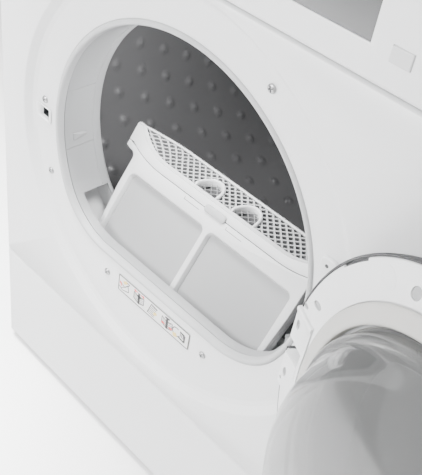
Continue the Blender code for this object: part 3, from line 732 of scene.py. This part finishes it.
def pictograms():
    """Generic line drawings of lifting, opening and rinsing the filter."""
    lo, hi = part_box("instruction_label")
    x0, x1 = lo.x / MM, hi.x / MM
    z0, z1 = lo.z / MM - PORT_Z, hi.z / MM - PORT_Z
    mid = (z0 + z1) / 2
    dark, red, yellow = [], [], []
    edge = 0.6
    dark += ribbon([(x0 + edge, z0 + edge), (x1 - edge, z0 + edge), (x1 - edge, z1 - edge),
                    (x0 + edge, z1 - edge)], 0.5, True)
    step = (x1 - x0) / 5
    first = x0 + step * 0.45
    dark += ribbon(shift(first, mid, (-11, -5), (-3, -9), (8, -5), (6, 5)), 0.4)
    dark += ribbon(shift(first, mid, (-9, 3), (0, -2), (9, 8), (3, 9)), 0.4)
    dark += ribbon(shift(first, mid, (-6, -7), (5, 3)), 0.3)
    yellow += ribbon(shift(first, mid, (-2, 4), (4, 9)), 1.5)
    red += arrow(first - 7, mid, 115, 3.6)
    for k in (1, 3):
        cx = x0 + step * (k + 0.5)
        for side in (-1, 1):
            half = shift(cx, mid, (side, -8), (side * 9, -5), (side * 9, 6), (side, 3))
            dark += ribbon(half, 0.38, True)
            for line in range(4):
                z = mid - 5 + 2.6 * line
                dark += ribbon(shift(cx, z, (side * 2, -1), (side * 8, 1)), 0.22)
            red += arrow(cx + side * 6.5, mid + 8.4 - 12.0 * (k == 3), 90 - 90 * side, 3.4)
        dark += ribbon(shift(cx, mid, (0, -9), (0, 9)), 1.3)
        dark += ribbon([(cx - 4, mid + 8 - 5 * (k == 1)), (cx + 4, mid + 9 - 5 * (k == 1))], 0.9)
    cx = x0 + step * 2.5
    for line in range(6):
        dark += ribbon([(cx - 8 + 1.2 * line, mid - 8 + 3 * line),
                        (cx + 3 + 0.8 * line, mid - 9 + 3 * line)], 0.35)
    dark += ribbon(shift(cx, mid, (-9, -9), (-3, 9), (8, 7)), 0.4)
    yellow += ribbon(shift(cx, mid, (2, -4), (7, 0)), 1.3)
    cx = x0 + step * 4.35
    dark += ribbon(arc(cx - 5, mid, 6.5, 60, 330, 10), 0.45)
    dark += ribbon(shift(cx, mid, (-1, -5), (9, -7), (9, 4), (1, 5)), 0.9)
    for line in range(3):
        dark += ribbon([(cx + 2 + 2.4 * line, mid - 3), (cx + 2 + 2.4 * line, mid + 3)], 0.4)
    yellow += ribbon(shift(cx, mid, (-10, -8), (-4, -5)), 2.0)
    verts, faces, slots = [], [], []
    for index, group in enumerate((dark, red, yellow)):
        for shape in group:
            y = -THIN - 0.62 - 0.01 * index
            add_prism(verts, faces, at(y, shape), at(y + 0.05, shape))
            slots += [index] * (len(shape) + 2)
    art = build("label_drawings", verts, faces, [INK, RED, YELLOW], face_mats=slots)
    attach(art, "cabinet")


# ---- drum

def drum_skin():
    """The drum's wall with staggered rows of round bumps standing into it."""
    per = 12
    n = BUMPS_ROUND * per
    rows = int(round((DRUM_Y1 - DRUM_Y0 - 6) / BUMP_PITCH_Y * per))
    start_y = BUMP_ROW_Y % BUMP_PITCH_Y
    loops = []
    for r, y in ((DRUM_MOUTH_R, DRUM_Y0), (DRUM_R - 4, DRUM_Y0), (DRUM_R - 1.2, DRUM_Y0 + 1.2)):
        loops.append([(r, y)] * n)
    for j in range(rows + 1):
        y = DRUM_Y0 + 4 + (DRUM_Y1 - DRUM_Y0 - 4) * j / rows
        loop = []
        for i in range(n):
            theta = 2 * pi * i / n
            row = round((y - start_y) / BUMP_PITCH_Y)
            best = 1e9
            for near in (row - 1, row, row + 1):
                index = near - round((BUMP_ROW_Y - start_y) / BUMP_PITCH_Y)
                step = (theta - BUMP_TURN) * BUMPS_ROUND / (2 * pi) - 0.5 * index
                across = (step - round(step)) * 2 * pi / BUMPS_ROUND * DRUM_R
                along = y - start_y - near * BUMP_PITCH_Y
                best = min(best, hypot(across, along))
            high = 0.0
            if best < BUMP_R and DRUM_Y0 + 10 <= y <= DRUM_Y1 - 12:
                high = BUMP_HEIGHT * 0.5 * (1 + cos(pi * best / BUMP_R))
            loop.append((DRUM_R - high, y))
        loops.append(loop)
    for r, y in ((DRUM_R + 1.0, DRUM_Y1), (DRUM_R + 1.0, DRUM_Y0 + 3), (DRUM_R - 3.4, DRUM_Y0 - 1.0),
                 (DRUM_MOUTH_R, DRUM_Y0 - 1.0)):
        loops.append([(r, y)] * n)
    rings = []
    for loop in loops:
        ring = []
        for i, (r, y) in enumerate(loop):
            theta = 2 * pi * i / n
            ring.append((-r * cos(theta), y, DRUM_Z - r * sin(theta)))
        rings.append(ring)
    skin = torus("drum_skin", rings, DRUM, angle=45.0)
    attach(skin, "drum", "drum_shell")


def drum_back():
    """The rear disc with a stepped centre, and rings of air holes as dark cups set into it: painted shade
    where the holes open onto the dark behind the disc.
    """
    profile = [(16, 503), (108, 503), (112, 503.6), (148, 510.2), (153, 511), (281, 511), (284.5, 512)]
    profile += [(286.3, 514.5), (286.3, 519), (284, 519), (281, 512.6), (149, 512.6), (109, 504.6)]
    profile += [(16, 504.6)]
    disc = lathe("drum_back", profile, DRUM, 0, DRUM_Z, 180)
    attach(disc, "drum", "drum_rear_disc")
    verts, faces = [], []
    for ring, count in enumerate((54, 60, 66, 72, 78)):
        r = 172 + 19 * ring
        for i in range(count):
            a = 2 * pi * (i + 0.5 * (ring % 2)) / count
            cx, cz = r * cos(a), DRUM_Z + r * sin(a)
            rims = [at(y, oval(cx, cz, hole_r, hole_r, n=12)) for hole_r, y in ((3.6, 510.9), (3.0, 510.4))]
            add_prism(verts, faces, *rims)
    holes = build("drum_back_hole_shade", verts, faces, BLACK_AND_HOLE_SHADE)
    attach(holes, "drum")


# ---- lint filter

def rise(u):
    """How far the port's outline has climbed above its flat at distance u."""
    flat = sqrt((PORT_R - PORT_FILLET) ** 2 - (PORT_FLAT - PORT_FILLET) ** 2)
    d = max(0.0, abs(u) - flat)
    return min(PORT_FILLET - sqrt(max(0.0, PORT_FILLET ** 2 - d * d)), EAR_RISE)


def front_edge(u):
    return (-55.5 - rise(u), 0.0)


def back_edge(u):
    return (-82.0, -4.0 - 36.0 * (1.0 - rise(u) / EAR_RISE))


def split_edge(u):
    return -44.3 - 0.5 * rise(u)


def on_slope(u, s, lift):
    """A point on the grille's slope: s mm down from its back edge, raised by lift."""
    fv, fw = front_edge(u)
    bv, bw = back_edge(u)
    length = hypot(fv - bv, fw - bw)
    dv, dw = (fv - bv) / length, (fw - bw) / length
    return (u, bv + dv * s - dw * lift, bw + dw * s + dv * lift)


def slope_length(u):
    fv, fw = front_edge(u)
    bv, bw = back_edge(u)
    return hypot(fv - bv, fw - bw)


def solid_sheet(name, rows, thick, mat, down):
    """A sheet on the filter through rows of points, given thickness along down."""
    n = len(rows[0])
    top = [p for row in rows for p in row]
    low = [tuple(a + b * thick for a, b in zip(p, down)) for p in top]
    verts = top + low
    off = len(top)
    faces = []
    for r in range(len(rows) - 1):
        for i in range(n - 1):
            a = r * n + i
            faces.append((a, a + 1, a + n + 1, a + n))
            faces.append((off + a, off + a + 1, off + a + n + 1, off + a + n))
    edge = list(range(n)) + [n - 1 + n * r for r in range(1, len(rows))]
    edge += [n * (len(rows) - 1) + i for i in range(n - 2, -1, -1)]
    edge += [n * r for r in range(len(rows) - 2, 0, -1)]
    for i, a in enumerate(edge):
        b = edge[(i + 1) % len(edge)]
        faces.append((a, b, off + b, off + a))
    return build(name, verts, faces, mat, on_filter)


def finger_far(u):
    return slope_length(u) - 5.0


def in_finger(u, s, margin):
    """Whether a point on the slope lies in a finger hole's D outline."""
    for a, b in FINGERS:
        mid, half = (a + b) / 2, (b - a) / 2 + margin
        if abs(u - mid) < half:
            depth = (finger_far(u) - s) / (FINGER_DEPTH + margin)
            if -0.2 < depth < sqrt(max(0.0, 1 - ((u - mid) / half) ** 2)):
                return True
    return False


def lattice(name, keep, fit, lift, pitch, bar, thick, mats):
    """Crossed diagonal bars round square holes; fit pulls points back inside the outline."""
    verts, faces, slots, index = [], [], [], {}
    turn = sqrt(0.5)

    def vert(a, b, depth):
        u, s = fit((a - b) * turn, (a + b) * turn)
        key = (round(u, 2), round(s, 2), depth)
        if key not in index:
            index[key] = len(verts)
            verts.append(on_slope(u, s, lift - depth))
        return index[key]

    def face(slot, *points):
        corners = []
        for p in points:
            k = vert(*p)
            if k not in corners:
                corners.append(k)
        if len(corners) > 2:
            faces.append(tuple(corners))
            slots.append(slot)

    half, hole = pitch / 2, (pitch - bar) / 2
    reach = int(FILT_EAR * 1.6 / pitch)
    cells = set()
    for i in range(-reach, reach):
        for j in range(-reach, reach):
            a, b = pitch * (i + 0.5), pitch * (j + 0.5)
            if keep((a - b) * turn, (a + b) * turn):
                cells.add((i, j))
    for i, j in sorted(cells):
        a, b = pitch * (i + 0.5), pitch * (j + 0.5)
        corner = [(a - half, b - half), (a + half, b - half), (a + half, b + half), (a - half, b + half)]
        inner = [(a - hole, b - hole), (a + hole, b - hole), (a + hole, b + hole), (a - hole, b + hole)]
        for k in range(4):
            m = (k + 1) % 4
            for depth in (0.0, thick):
                face(0, (*corner[k], depth), (*corner[m], depth), (*inner[m], depth), (*inner[k], depth))
            face(1, (*inner[k], 0.0), (*inner[m], 0.0), (*inner[m], thick), (*inner[k], thick))
        for k, (di, dj) in enumerate(((0, -1), (1, 0), (0, 1), (-1, 0))):
            if (i + di, j + dj) not in cells:
                m = (k + 1) % 4
                face(1, (*corner[k], 0.0), (*corner[m], 0.0), (*corner[m], thick), (*corner[k], thick))
    return build(name, verts, faces, mats, on_filter, 30.0, slots)


def filter_top():
    """The grille, its borders, finger holes and the hollow head under them."""
    body = "filter_back"

    def on_grille(u, s):
        return 0 < s < slope_length(u) - 3.0 and abs(u) < FILT_EAR - 8 and not in_finger(u, s, 3.2)

    def fit_grille(u, s):
        u = max(7.0 - FILT_EAR, min(FILT_EAR - 7.0, u))
        return u, max(0.8, min(slope_length(u) - 2.5, s))

    # The holes' side walls take the darker wall grey: painted shade.
    grille = lattice("filter_grille", on_grille, fit_grille, 0.0, 7.4, 2.1, 4.4, [GRILLE, GRILLE_WALL_SHADE])
    attach(grille, body)

    for side, label in ((-1, "left"), (1, "right")):
        rows = []
        for u in (FILT_EAR - 9.0, FILT_EAR - 5.0, FILT_EAR - 1.0):
            rows.append([on_slope(side * u, slope_length(u) * i / 8, 0.25) for i in range(9)])
        end = solid_sheet("grille_end_" + label, rows, 1.0, FILTER, (0.0, 0.8, -0.6))
        attach(end, body)
    stations = [-FILT_EAR + 2 * FILT_EAR * i / 82 for i in range(83)]
    rows = []
    for f in (0.0, 0.35, 0.7, 1.0):
        rows.append([on_slope(u, slope_length(u) - 6.0 * f, 0.5 - 0.5 * f) for u in stations])
    front = solid_sheet("grille_front_border", rows, 1.0, FILTER, (0.0, 0.8, -0.6))
    rows = [[on_slope(u, s, 0.4) for u in stations] for s in (-0.5, 1.2, 3.4)]
    back = solid_sheet("grille_back_border", rows, 1.6, FILTER, (0.0, 0.8, -0.6))
    rows = []
    for f in (0.0, 0.15, 0.5, 0.85, 1.0):
        row = []
        for u in stations:
            v = front_edge(u)[0] + (split_edge(u) - front_edge(u)[0]) * f
            row.append((u, v - 0.3, 0.0 if 0.0 < f < 1.0 else -0.35))
        rows.append(row)
    band = solid_sheet("head_front", rows, 1.6, FILTER, (0.0, 0.0, -1.0))
    rows = []
    for k in range(6):
        f = k / 5
        row = []
        for u in stations:
            up = rise(u) / EAR_RISE
            deep = 22.0 * (0.25 + 0.75 * (1 - up)) + 2.0
            back_w = back_edge(u)[1]
            path = [(split_edge(u), -1.5), (split_edge(u), -min(20.0, -back_w + 3.0))]
            path += [(-60.0 - 0.7 * rise(u), -deep), (-78.5, back_w - 1.5), (-81.5, back_w - 0.4)]
            t = f * (len(path) - 1)
            i = min(int(t), len(path) - 2)
            g = t - i
            v = path[i][0] + (path[i + 1][0] - path[i][0]) * g
            w = path[i][1] + (path[i + 1][1] - path[i][1]) * g
            row.append((u, v - 0.3, w))
        rows.append(row)
    tray = solid_sheet("head_tray", rows, 1.2, FILTER, (0.0, -0.6, 0.8))
    # The tray's inner faces take the near-black: painted shade in the hollow head.
    tray.data.materials.append(INSIDE_SHADE)
    for k in range(1, 10 * (len(stations) - 1), 2):
        tray.data.polygons[k].material_index = 1
    # A near-black strip under the split between the halves: painted shade in the gap.
    shade = [[(u, split_edge(u) + d, -1.1) for u in stations[1:-1]] for d in (-1.6, 1.2)]
    line = solid_sheet("split_shade", shade, 0.5, INSIDE_SHADE, (0.0, 0.0, -1.0))
    attach(line, body)
    for side in (-1, 1):
        u = side * (FILT_EAR - 0.7)
        bv, bw = back_edge(u)
        split = split_edge(u)
        ring = [(split, -0.4), (front_edge(u)[0], -0.2), (bv, bw), (bv + 3.5, bw - 1.5), (split, -7.0)]
        cap = loft("head_cap_%s" % ("left" if side < 0 else "right"),
                   [[(u + d, v, w) for v, w in ring] for d in (-0.7, 0.7)], FILTER, on_filter)
        round_edges(cap, 0.4, 2)
        attach(cap, body)
    for piece in (front, back, band, tray):
        attach(piece, body)
    for k, (a, b) in enumerate(FINGERS):
        finger(k, a, b, body)


def finger(k, a, b, body):
    """One finger hole: a sunk wall, a thick raised rim round its back, and a lattice floor."""
    mid, half = (a + b) / 2, (b - a) / 2
    far = finger_far(mid)
    outline = [(b, far)]
    for i in range(25):
        t = pi * i / 24
        outline.append((mid + half * cos(t), far - 1.0 - (FINGER_DEPTH - 1.0) * sin(t)))
    outline.append((a, far))
    for i in range(1, 10):
        outline.append((a + (b - a) * i / 10, far))
    loops = []
    for grow, lift in ((4.2, -0.6), (3.6, 1.6), (2.6, 2.8), (1.4, 3.1), (0.3, 2.5), (-0.4, 1.0),
                       (-0.8, -7.6), (0.8, -7.6)):
        ring = []
        for u, s in outline:
            du, ds = u - mid, s - (far - 9.0)
            length = hypot(du, ds)
            front = s > far - 2.0
            out = grow * (0.35 if front and grow > 0 else 1.0)
            high = lift * (0.15 if front and lift > 0 else 1.0)
            ring.append(on_slope(u + out * du / length, s + out * ds / length, high))
        loops.append(ring)
    rim = torus("finger_rim_%d" % (k + 1), loops, FILTER, on_filter, 50.0)
    attach(rim, body)

    def on_floor(u, s):
        depth = (far - s) / FINGER_DEPTH
        return abs(u - mid) < half and -0.02 < depth < 0.1 + sqrt(max(0.0, 1 - ((u - mid) / half) ** 2))

    # The floor lattice is all in the wall grey: painted shade at the bottom of the finger hole.
    floor = lattice("finger_floor_%d" % (k + 1), on_floor, lambda u, s: (u, min(far + 0.5, s)),
                    -2.6, 7.4, 0.9, 0.8, [GRILLE_WALL_SHADE, GRILLE_WALL_SHADE])
    attach(floor, body)


def face_at(w, shape):
    """An outline on the filter's face as points at one w."""
    return [(u, v, w) for u, v in shape]


def plate_with_windows(name, outline, w0, w1, deep, mat):
    """A filter half: an outline cut by two windows with sloping, rounded sides."""
    plate = loft(name, [face_at(w, outline) for w in (w0, w1)], mat, on_filter)
    cutters = []
    if w1 > -5.0:
        levels = ((w1 + 3.0, -2.2), (w1 + 0.01, -2.0), (w1 - deep, 0.8), (w0 - 3.0, 0.8))
    else:
        levels = ((w1 + 3.0, 0.8), (w0 + deep, 0.8), (w0, -2.0), (w0 - 3.0, -2.2))
    for a, b in ((-135.5, -5.3), (5.3, 135.5)):
        loops = []
        for w, inset in levels:
            shape = rounded(a + inset, -23 + inset, b - inset, 68 - inset, 7.0 - inset)
            loops.append(face_at(w, shape))
        cutters.append(loft("cutter", loops, mat, on_filter))
    cut(plate, cutters)
    return round_edges(plate, 0.7, 3, 50.0)


def curve_points(fn, u0, u1, n):
    return [(u0 + (u1 - u0) * i / n, fn(u0 + (u1 - u0) * i / n)) for i in range(n + 1)]


def filter_front():
    """The hinged front half, with its ear tabs, clip marks and latch; its gauze is the CAD node, finished
    with the other nodes.
    """
    body = "filter_cover"
    top = curve_points(lambda u: split_edge(u) + 0.7, -152, 152, 60)
    right = [(FILT_EAR, -56.3), (FILT_EAR, -49.0), (158, -47.0)] + arc(156, -38, 9, 270, 180, 5)[1:]
    right += [(FILT_W, -25), (FILT_W, 0), (142, FILT_BOTTOM - 4), (138, FILT_BOTTOM)]
    left = [(-u, v) for u, v in reversed(right)]
    outline = top + right + left
    plate = plate_with_windows("filter_front_half", outline, -9.7, 0.0, 5.0, FILTER)
    attach(plate, body, "filter_front")

    half = 0.36
    verts, faces = [], []
    for u0 in (22.0, -49.0):
        for a, b, c, d in ((u0 - half, -40.6, u0 + half, -37.0),
                           (u0, -37.4 - half, u0 + 26.0, -37.4 + half)):
            ring = [(a, b), (c, b), (c, d), (a, d)]
            add_prism(verts, faces, face_at(0.06, ring), face_at(-0.2, ring))
    clips = build("clip_marks", verts, faces, CLIP, on_filter)
    attach(clips, body)

    shape = rounded(-17, -50.5, 17, -40.5, 4.0)
    inner = rounded(-15.6, -49.1, 15.6, -41.9, 3.0)
    loops = [face_at(THIN, shape), face_at(1.6, shape), face_at(2.5, inner)]
    latch = loft("latch_button", loops, LIP_SHADE_AND_LATCH_GREY, on_filter)
    round_edges(latch, 0.5, 3)
    attach(latch, body, "filter_latch")


def filter_rear():
    """The fixed rear half below the head."""
    side = [(-FILT_W, -44.0), (FILT_W, -44.0), (FILT_W, 0), (142, FILT_BOTTOM - 4), (138, FILT_BOTTOM)]
    side += [(-138, FILT_BOTTOM), (-142, FILT_BOTTOM - 4), (-FILT_W, 0)]
    plate = plate_with_windows("filter_rear_half", side, -20.0, -10.3, 5.0, FILTER)
    attach(plate, "filter_back", "filter_rear")


# ---- door

def notch_cutter(y0):
    """The opening through the door's edge where the hinge block passes."""
    return box("cutter", (206, y0, -NOTCH), (252, 4, NOTCH), None, on_door)


def door_pieces():
    """The door, drawn shut: dark rim, white ring with mid-grey plugs in its oval recesses as painted shade,
    seal, bowl and inner pane.
    """
    rim = [(240.0, -8.0)]
    for k in range(5):
        a = radians(22.5 * k)
        rim.append((241.2 + 0.9 * sin(a), -8.0 - 0.8 * (1 - cos(a))))
    rim += [(241.9, -12), (240.7, -18), (238.2, -25), (234.8, -32), (230, -38.5), (223, -43.5)]
    rim += [(214, -46.4), (168, -48), (164.5, -47.9), (162.4, -47.0), (162, -46), (162, -44)]
    rim += [(213, -42.6), (221, -39.6), (227.6, -34), (233.0, -26), (237.0, -16), (239.9, -9)]
    obj = lathe("door_rim", rim, RIM, place=on_door, angle=50.0)
    cut(obj, [notch_cutter(-60)], angle=50.0)
    attach(obj, "door", "door_frame")

    loops = matched_circles((239.5, -9.0), (239.3, -8.0), (238.6, -7.2), (237.4, -6.8), (226, -6.6))
    loops += ports((16.2, -6.8), (15.2, -7.2), (14.9, -9), (-4, -11), (-4, -13), (17, -12.5))
    loops += matched_circles((222, -9.3), (239.5, -9.4))
    ring = torus("door_ring", loops, FASCIA, on_door, 45.0)
    cutters = [box("cutter", (207.6, -40, -53), (237.6, 4, 50), None, on_door)]
    cutters.append(notch_cutter(-40))
    step = arc(0, 0, 236.9, 34.3, 44.0, 12) + arc(0, 0, 246.0, 44.0, 34.3, 12)
    cutters.append(slab("cutter", step, (-20.0, 4.0), FASCIA, on_door))
    shade_plugs = []
    fixings = [(229, 57.0, 2.8, 4.6, 75), (213, 73.8, 4.0, 6.5, 70)]
    for x, z, turn in ((112.4, 188.6, 30), (-60, 214, -16), (-190, 118, -60), (-190, -118, 60),
                       (60, -214, -164), (190, -118, 122)):
        fixings.append((x, z, 5.0, 7.6, turn))
    for x, z, a, b, turn in fixings:
        shape = oval(x, z, a, b, turn)
        cutters.append(slab("cutter", shape, (-8.6, -4.0), FASCIA, on_door))
        shade_plugs.append((x, z, shape))
    cut(ring, cutters, angle=45.0)
    # Mid-grey plugs sunk in the oval recesses: painted shade.
    for k, (x, z, shape) in enumerate(shade_plugs):
        loops = []
        for y, f in ((-9.0, 0.97), (-7.7, 0.97), (-7.4, 0.8)):
            loops.append([(x + f * (px - x), y, z + f * (pz - z)) for px, pz in shape])
        shade_plug = loft("ring_plug_%d" % (k + 1), loops, RECESS_SHADE, on_door)
        attach(shade_plug, "door")
    attach(ring, "door", "door_inner_ring")
    profile = [(233, -9.7), (239.6, -9.7), (239.6, -10.6), (233, -10.6)]
    back = lathe("ring_backing", profile, RIM, place=on_door)
    cut(back, [notch_cutter(-40), box("cutter", (207, -40, -53), (237.6, 4, 50), None, on_door)])
    attach(back, "door")
    boss = turned("ring_boss", [(9, -7.2), (9, -6.5), (7.4, -5.9), (2, -5.7)], FASCIA, 142.8, 174.2,
                  place=on_door, angle=50.0)
    attach(boss, "door")

    loops = ports((14.3, -6.5), (14.1, -5.0), (13.2, -4.3), (11, -3.7), (7, -2.6), (3, -1.6), (0.8, -1.15),
                  (-0.6, -1.2), (-1.8, -1.8), (-2.2, -2.8), (-2.2, -8.6), (2, -7.9), (13, -6.8))
    seal = torus("door_gasket", loops, SEAL, on_door, 60.0)
    attach(seal, "door", "door_seal")
    loops = ports((-3.6, -13.2), (-12, -13.2), (-12, -14.2), (-3.6, -14.2))
    seat = torus("bowl_seat", loops, SEAL, on_door, 45.0)
    attach(seat, "door")
    hinge_cover()
    bowl()
    pane = [(161.3, -44.0), (161.3, -46.6), (160.4, -47.6), (156, -48.6), (120, -49.6), (60, -50.3)]
    pane.append((3, -50.5))
    window = turned("door_pane", pane, SCREEN, n=FINE, place=on_door, angle=50.0)
    attach(window, "door", "door_window")


def hinge_cover():
    """The white cover over the hinge block, with a rounded ridge across its top end."""
    shape = [(208.0, -52.6), (237.2, -52.6), (237.2, 49.4), (208.0, 49.4)]
    cover = slab("hinge_cover", shape, (-8.8, -5.3), FASCIA, on_door)
    ridge = []
    for z, high in ((43.0, -5.6), (44.5, -4.4), (47.0, -3.9), (49.4, -4.6), (49.4, -8.8), (43.0, -8.8)):
        ridge.append((high, z))
    top = loft("cutter", [[(x, y, z) for y, z in ridge] for x in (208.0, 237.2)], FASCIA, on_door)
    cut(cover, [top], "UNION")
    cutters = [notch_cutter(-40)]
    cutters.append(box("cutter", (209.6, -7.6, -23.0), (213.2, 4, -8.0), None, on_door))
    for x, z, a, b in ((230.0, 31.9, 3.2, 5.8), (229.0, -31.6, 3.2, 5.8), (233.0, -44.0, 1.9, 1.9)):
        cutters.append(slab("cutter", oval(x, z, a, b), (-7.4, 4.0), FASCIA, on_door))
    cut(cover, cutters)
    round_edges(cover, 0.5, 2)
    attach(cover, "door")
    shape = [(209.0, -20.6), (221.8, -20.6)] + arc(HINGE_X, HINGE_Y, 7.4, 150, 283, 12)
    shape += [(231.0, -38.0), (225.0, -39.5), (209.0, -38.0)]
    loops = [[(x, y, z) for x, y in shape] for z in (-NOTCH + 0.4, NOTCH - 0.4)]
    liner = loft("hinge_trough", loops, FASCIA, on_door)
    attach(liner, "door")
    shape = [(208.6, -8.9), (238.8, -8.9), (236.6, -18), (232.6, -26), (227, -33), (221, -38), (208.6, -39)]
    for label, z0 in (("upper", NOTCH), ("lower", -NOTCH - 0.8)):
        loops = [[(x, y, z) for x, y in shape] for z in (z0, z0 + 0.8)]
        cheek = loft("hinge_cheek_" + label, loops, FASCIA, on_door)
        attach(cheek, "door")
    # The plugs sunk in the cover's recesses are painted shade: mid grey in the ovals, dark grey in the
    # small round hole.
    fixings = ((230.0, 31.9, 3.0, 5.6, RECESS_SHADE), (229.0, -31.6, 3.0, 5.6, RECESS_SHADE),
               (233.0, -44.0, 1.7, 1.7, DARK_GREY_AND_HOLE_SHADE))
    for k, (x, z, a, b, mat) in enumerate(fixings):
        loops = []
        for y, f in ((-8.2, 1.0), (-6.9, 1.0), (-6.6, 0.7)):
            loops.append(at(y, oval(x, z, f * a, f * b, n=24)))
        shade_plug = loft("hinge_plug_%d" % (k + 1), loops, mat, on_door)
        attach(shade_plug, "door")


def dome(*rows):
    """The bowl's flat end outline, shrunk by each pair's factor and drawn at its y."""
    return [[(x * f, y, z * f) for x, _, z in port(-60, 0)] for f, y in rows]


def bowl():
    """The glass bowl: a flanged rim, a steep flat-bottomed side and a domed end."""
    outer = ports((-5, -14), (-5.4, -10), (-6.4, 1), (-7.4, 5.6), (-9.4, 8.2), (-12, 9.6), (-15, 11.4),
                  (-18.5, 16), (-23, 24), (-29, 33), (-38, 42), (-50, 49.5), (-60, 53.5))
    outer += dome((0.85, 56.0), (0.65, 58.6), (0.45, 60.2), (0.25, 61), (0.08, 61.2))
    inner = dome((0.08, 56.8), (0.25, 56.6), (0.45, 55.8), (0.65, 54.2), (0.85, 51.8))
    inner += ports((-63, 49.2), (-53.5, 45.8), (-41.8, 39), (-33, 30.4), (-27, 21.8), (-22.6, 14),
                   (-19, 8.6), (-14, 5), (-13, 0), (-13, -12), (-16, -18), (-5, -18))
    obj = loft("glass_bowl", inner + outer, GLASS, on_door, 60.0)
    attach(obj, "door", "door_bowl")


# ---- carried-over nodes

def finish_node(name, mat, bevel):
    """Gives a CAD node that stays its material, smooth shading and softened edges."""
    obj = nodes[name]
    obj.data.materials.clear()
    obj.data.materials.append(mat)
    weld = obj.modifiers.new("weld", "WELD")
    weld.merge_threshold = 0.00001
    if bevel:
        mod = obj.modifiers.new("round", "BEVEL")
        mod.width = bevel * MM
        mod.segments = 3
        mod.limit_method = "ANGLE"
        mod.angle_limit = radians(40)
    smooth(obj.data, 38.0)
    weighted = obj.modifiers.new("normals", "WEIGHTED_NORMAL")
    weighted.keep_sharp = True


def finish_nodes():
    """Each row: the material, the bevel in millimetres and the nodes that take them."""
    for mat, bevel, names in (
        (WHITE, 0.0, "kick_panel side_panel_left side_panel_right worktop"),
        (FASCIA, 0.0, "control_fascia tank_drawer_front"),
        (FASCIA, 0.6, "hinge_block"),
        (SCREEN, 0.6, "display_window"),
        (BRUSHED, 0.6, "programme_knob"),
        (GREY, 0.0, "option_button_1 option_button_2 start_button filter_duct"),
        (GREY, 0.6, "base_tray"),
        (GREY, 1.5, "water_tank"),
        (LABEL, 0.0, "instruction_label"),
        (MESH, 0.0, "filter_mesh_front filter_mesh_rear"),
        (GALV, 0.0, "rear_panel rear_bulkhead"),
        (GALV, 0.3, "filter_hinge_pin"),
        (GALV, 0.4, "hinge_plate"),
        (GALV, 0.5, "drum_shaft"),
        (CHROME, 0.4, "hinge_pin door_latch motor_shaft"),
        (DARK_GREY_AND_HOLE_SHADE, 3.0, "drum_lifter_1 drum_lifter_2 drum_lifter_3"),
        (FELT, 0.5, "drum_felt"),
        (CAST, 1.5, "motor_housing"),
        (CAST, 2.0, "compressor"),
        (FINS, 0.3, "heat_exchanger"),
        (BLACK_AND_HOLE_SHADE, 0.5, "mains_gland"),
        (BLACK_AND_HOLE_SHADE, 0.6, "fan_wheel"),
        (RUBBER, 0.3, "drum_belt"),
        (RUBBER, 0.6, "support_roller_1 support_roller_2"),
        (RUBBER, 0.8, "foot_1 foot_2 foot_3 foot_4"),
    ):
        for name in names.split():
            finish_node(name, mat, bevel)


# ---- stage, light and camera

def stage():
    mesh = bpy.data.meshes.new("studio_floor")
    bm = bmesh.new()
    corners = ((-STUDIO_HALF, -STUDIO_HALF), (STUDIO_HALF, -STUDIO_HALF), (STUDIO_HALF, STUDIO_HALF),
               (-STUDIO_HALF, STUDIO_HALF))
    bm.faces.new([bm.verts.new((x, y, FLOOR_Z)) for x, y in corners])
    bm.to_mesh(mesh)
    bm.free()
    mat = shader("floor_paint", (0.82, 0.82, 0.82), 0.7)
    tint(mat, noise(mat, 1.5), (0.92, 0.92, 0.92), (0.95, 0.95, 0.95))
    mesh.materials.append(mat)
    floor = bpy.data.objects.new("studio_floor", mesh)
    bpy.context.scene.collection.objects.link(floor)


def area_light(name, place, target, size, power, spread=180.0):
    data = bpy.data.lights.new(name, "AREA")
    data.shape = "SQUARE"
    data.size = size
    data.energy = power
    data.spread = radians(spread)
    lamp = bpy.data.objects.new(name, data)
    lamp.location = place
    lamp.rotation_euler = (Vector(target) - Vector(place)).to_track_quat("-Z", "Y").to_euler()
    bpy.context.scene.collection.objects.link(lamp)


def light():
    scene = bpy.context.scene
    world_data = bpy.data.worlds.new("studio")
    world_data.use_nodes = True
    background = world_data.node_tree.nodes["Background"]
    background.inputs["Color"].default_value = (1.0, 1.0, 1.0, 1.0)
    background.inputs["Strength"].default_value = 0.98
    scene.world = world_data
    area_light("key_light", (-0.9, -2.6, 2.0), STUDIO_AIM, 1.4, 152.0)
    area_light("fill_light", (2.2, -1.6, 1.4), STUDIO_AIM, 1.6, 14.0)
    area_light("back_light", (0.5, 2.4, 2.2), STUDIO_AIM, 2.0, 52.0)
    area_light("drum_light", world((-60, 95, 185)), world((-110, 330, -220)), 0.10, 2.5)
    area_light("floor_light", (-0.85, -1.0, 2.5), (-0.85, -1.0, 0.0), 1.3, 85.0, 40.0)


def camera():
    """The fitted viewpoint: above and to the right, tilted about its own axis."""
    data = bpy.data.cameras.new("camera")
    data.sensor_width = 36.0
    data.lens = CAMERA_LENS
    data.clip_start = 0.01
    cam = bpy.data.objects.new("camera", data)
    cam.location = CAMERA_AT
    cam.rotation_euler = [radians(a) for a in CAMERA_TURN]
    bpy.context.scene.collection.objects.link(cam)
    bpy.context.scene.camera = cam


front_skin()
port_sleeve()
hinge_end()
sleeve_clip()
screw_heads()
lock_insert()
pictograms()
drum_skin()
drum_back()
filter_top()
filter_front()
filter_rear()
door_pieces()
finish_nodes()
stage()
light()
camera()
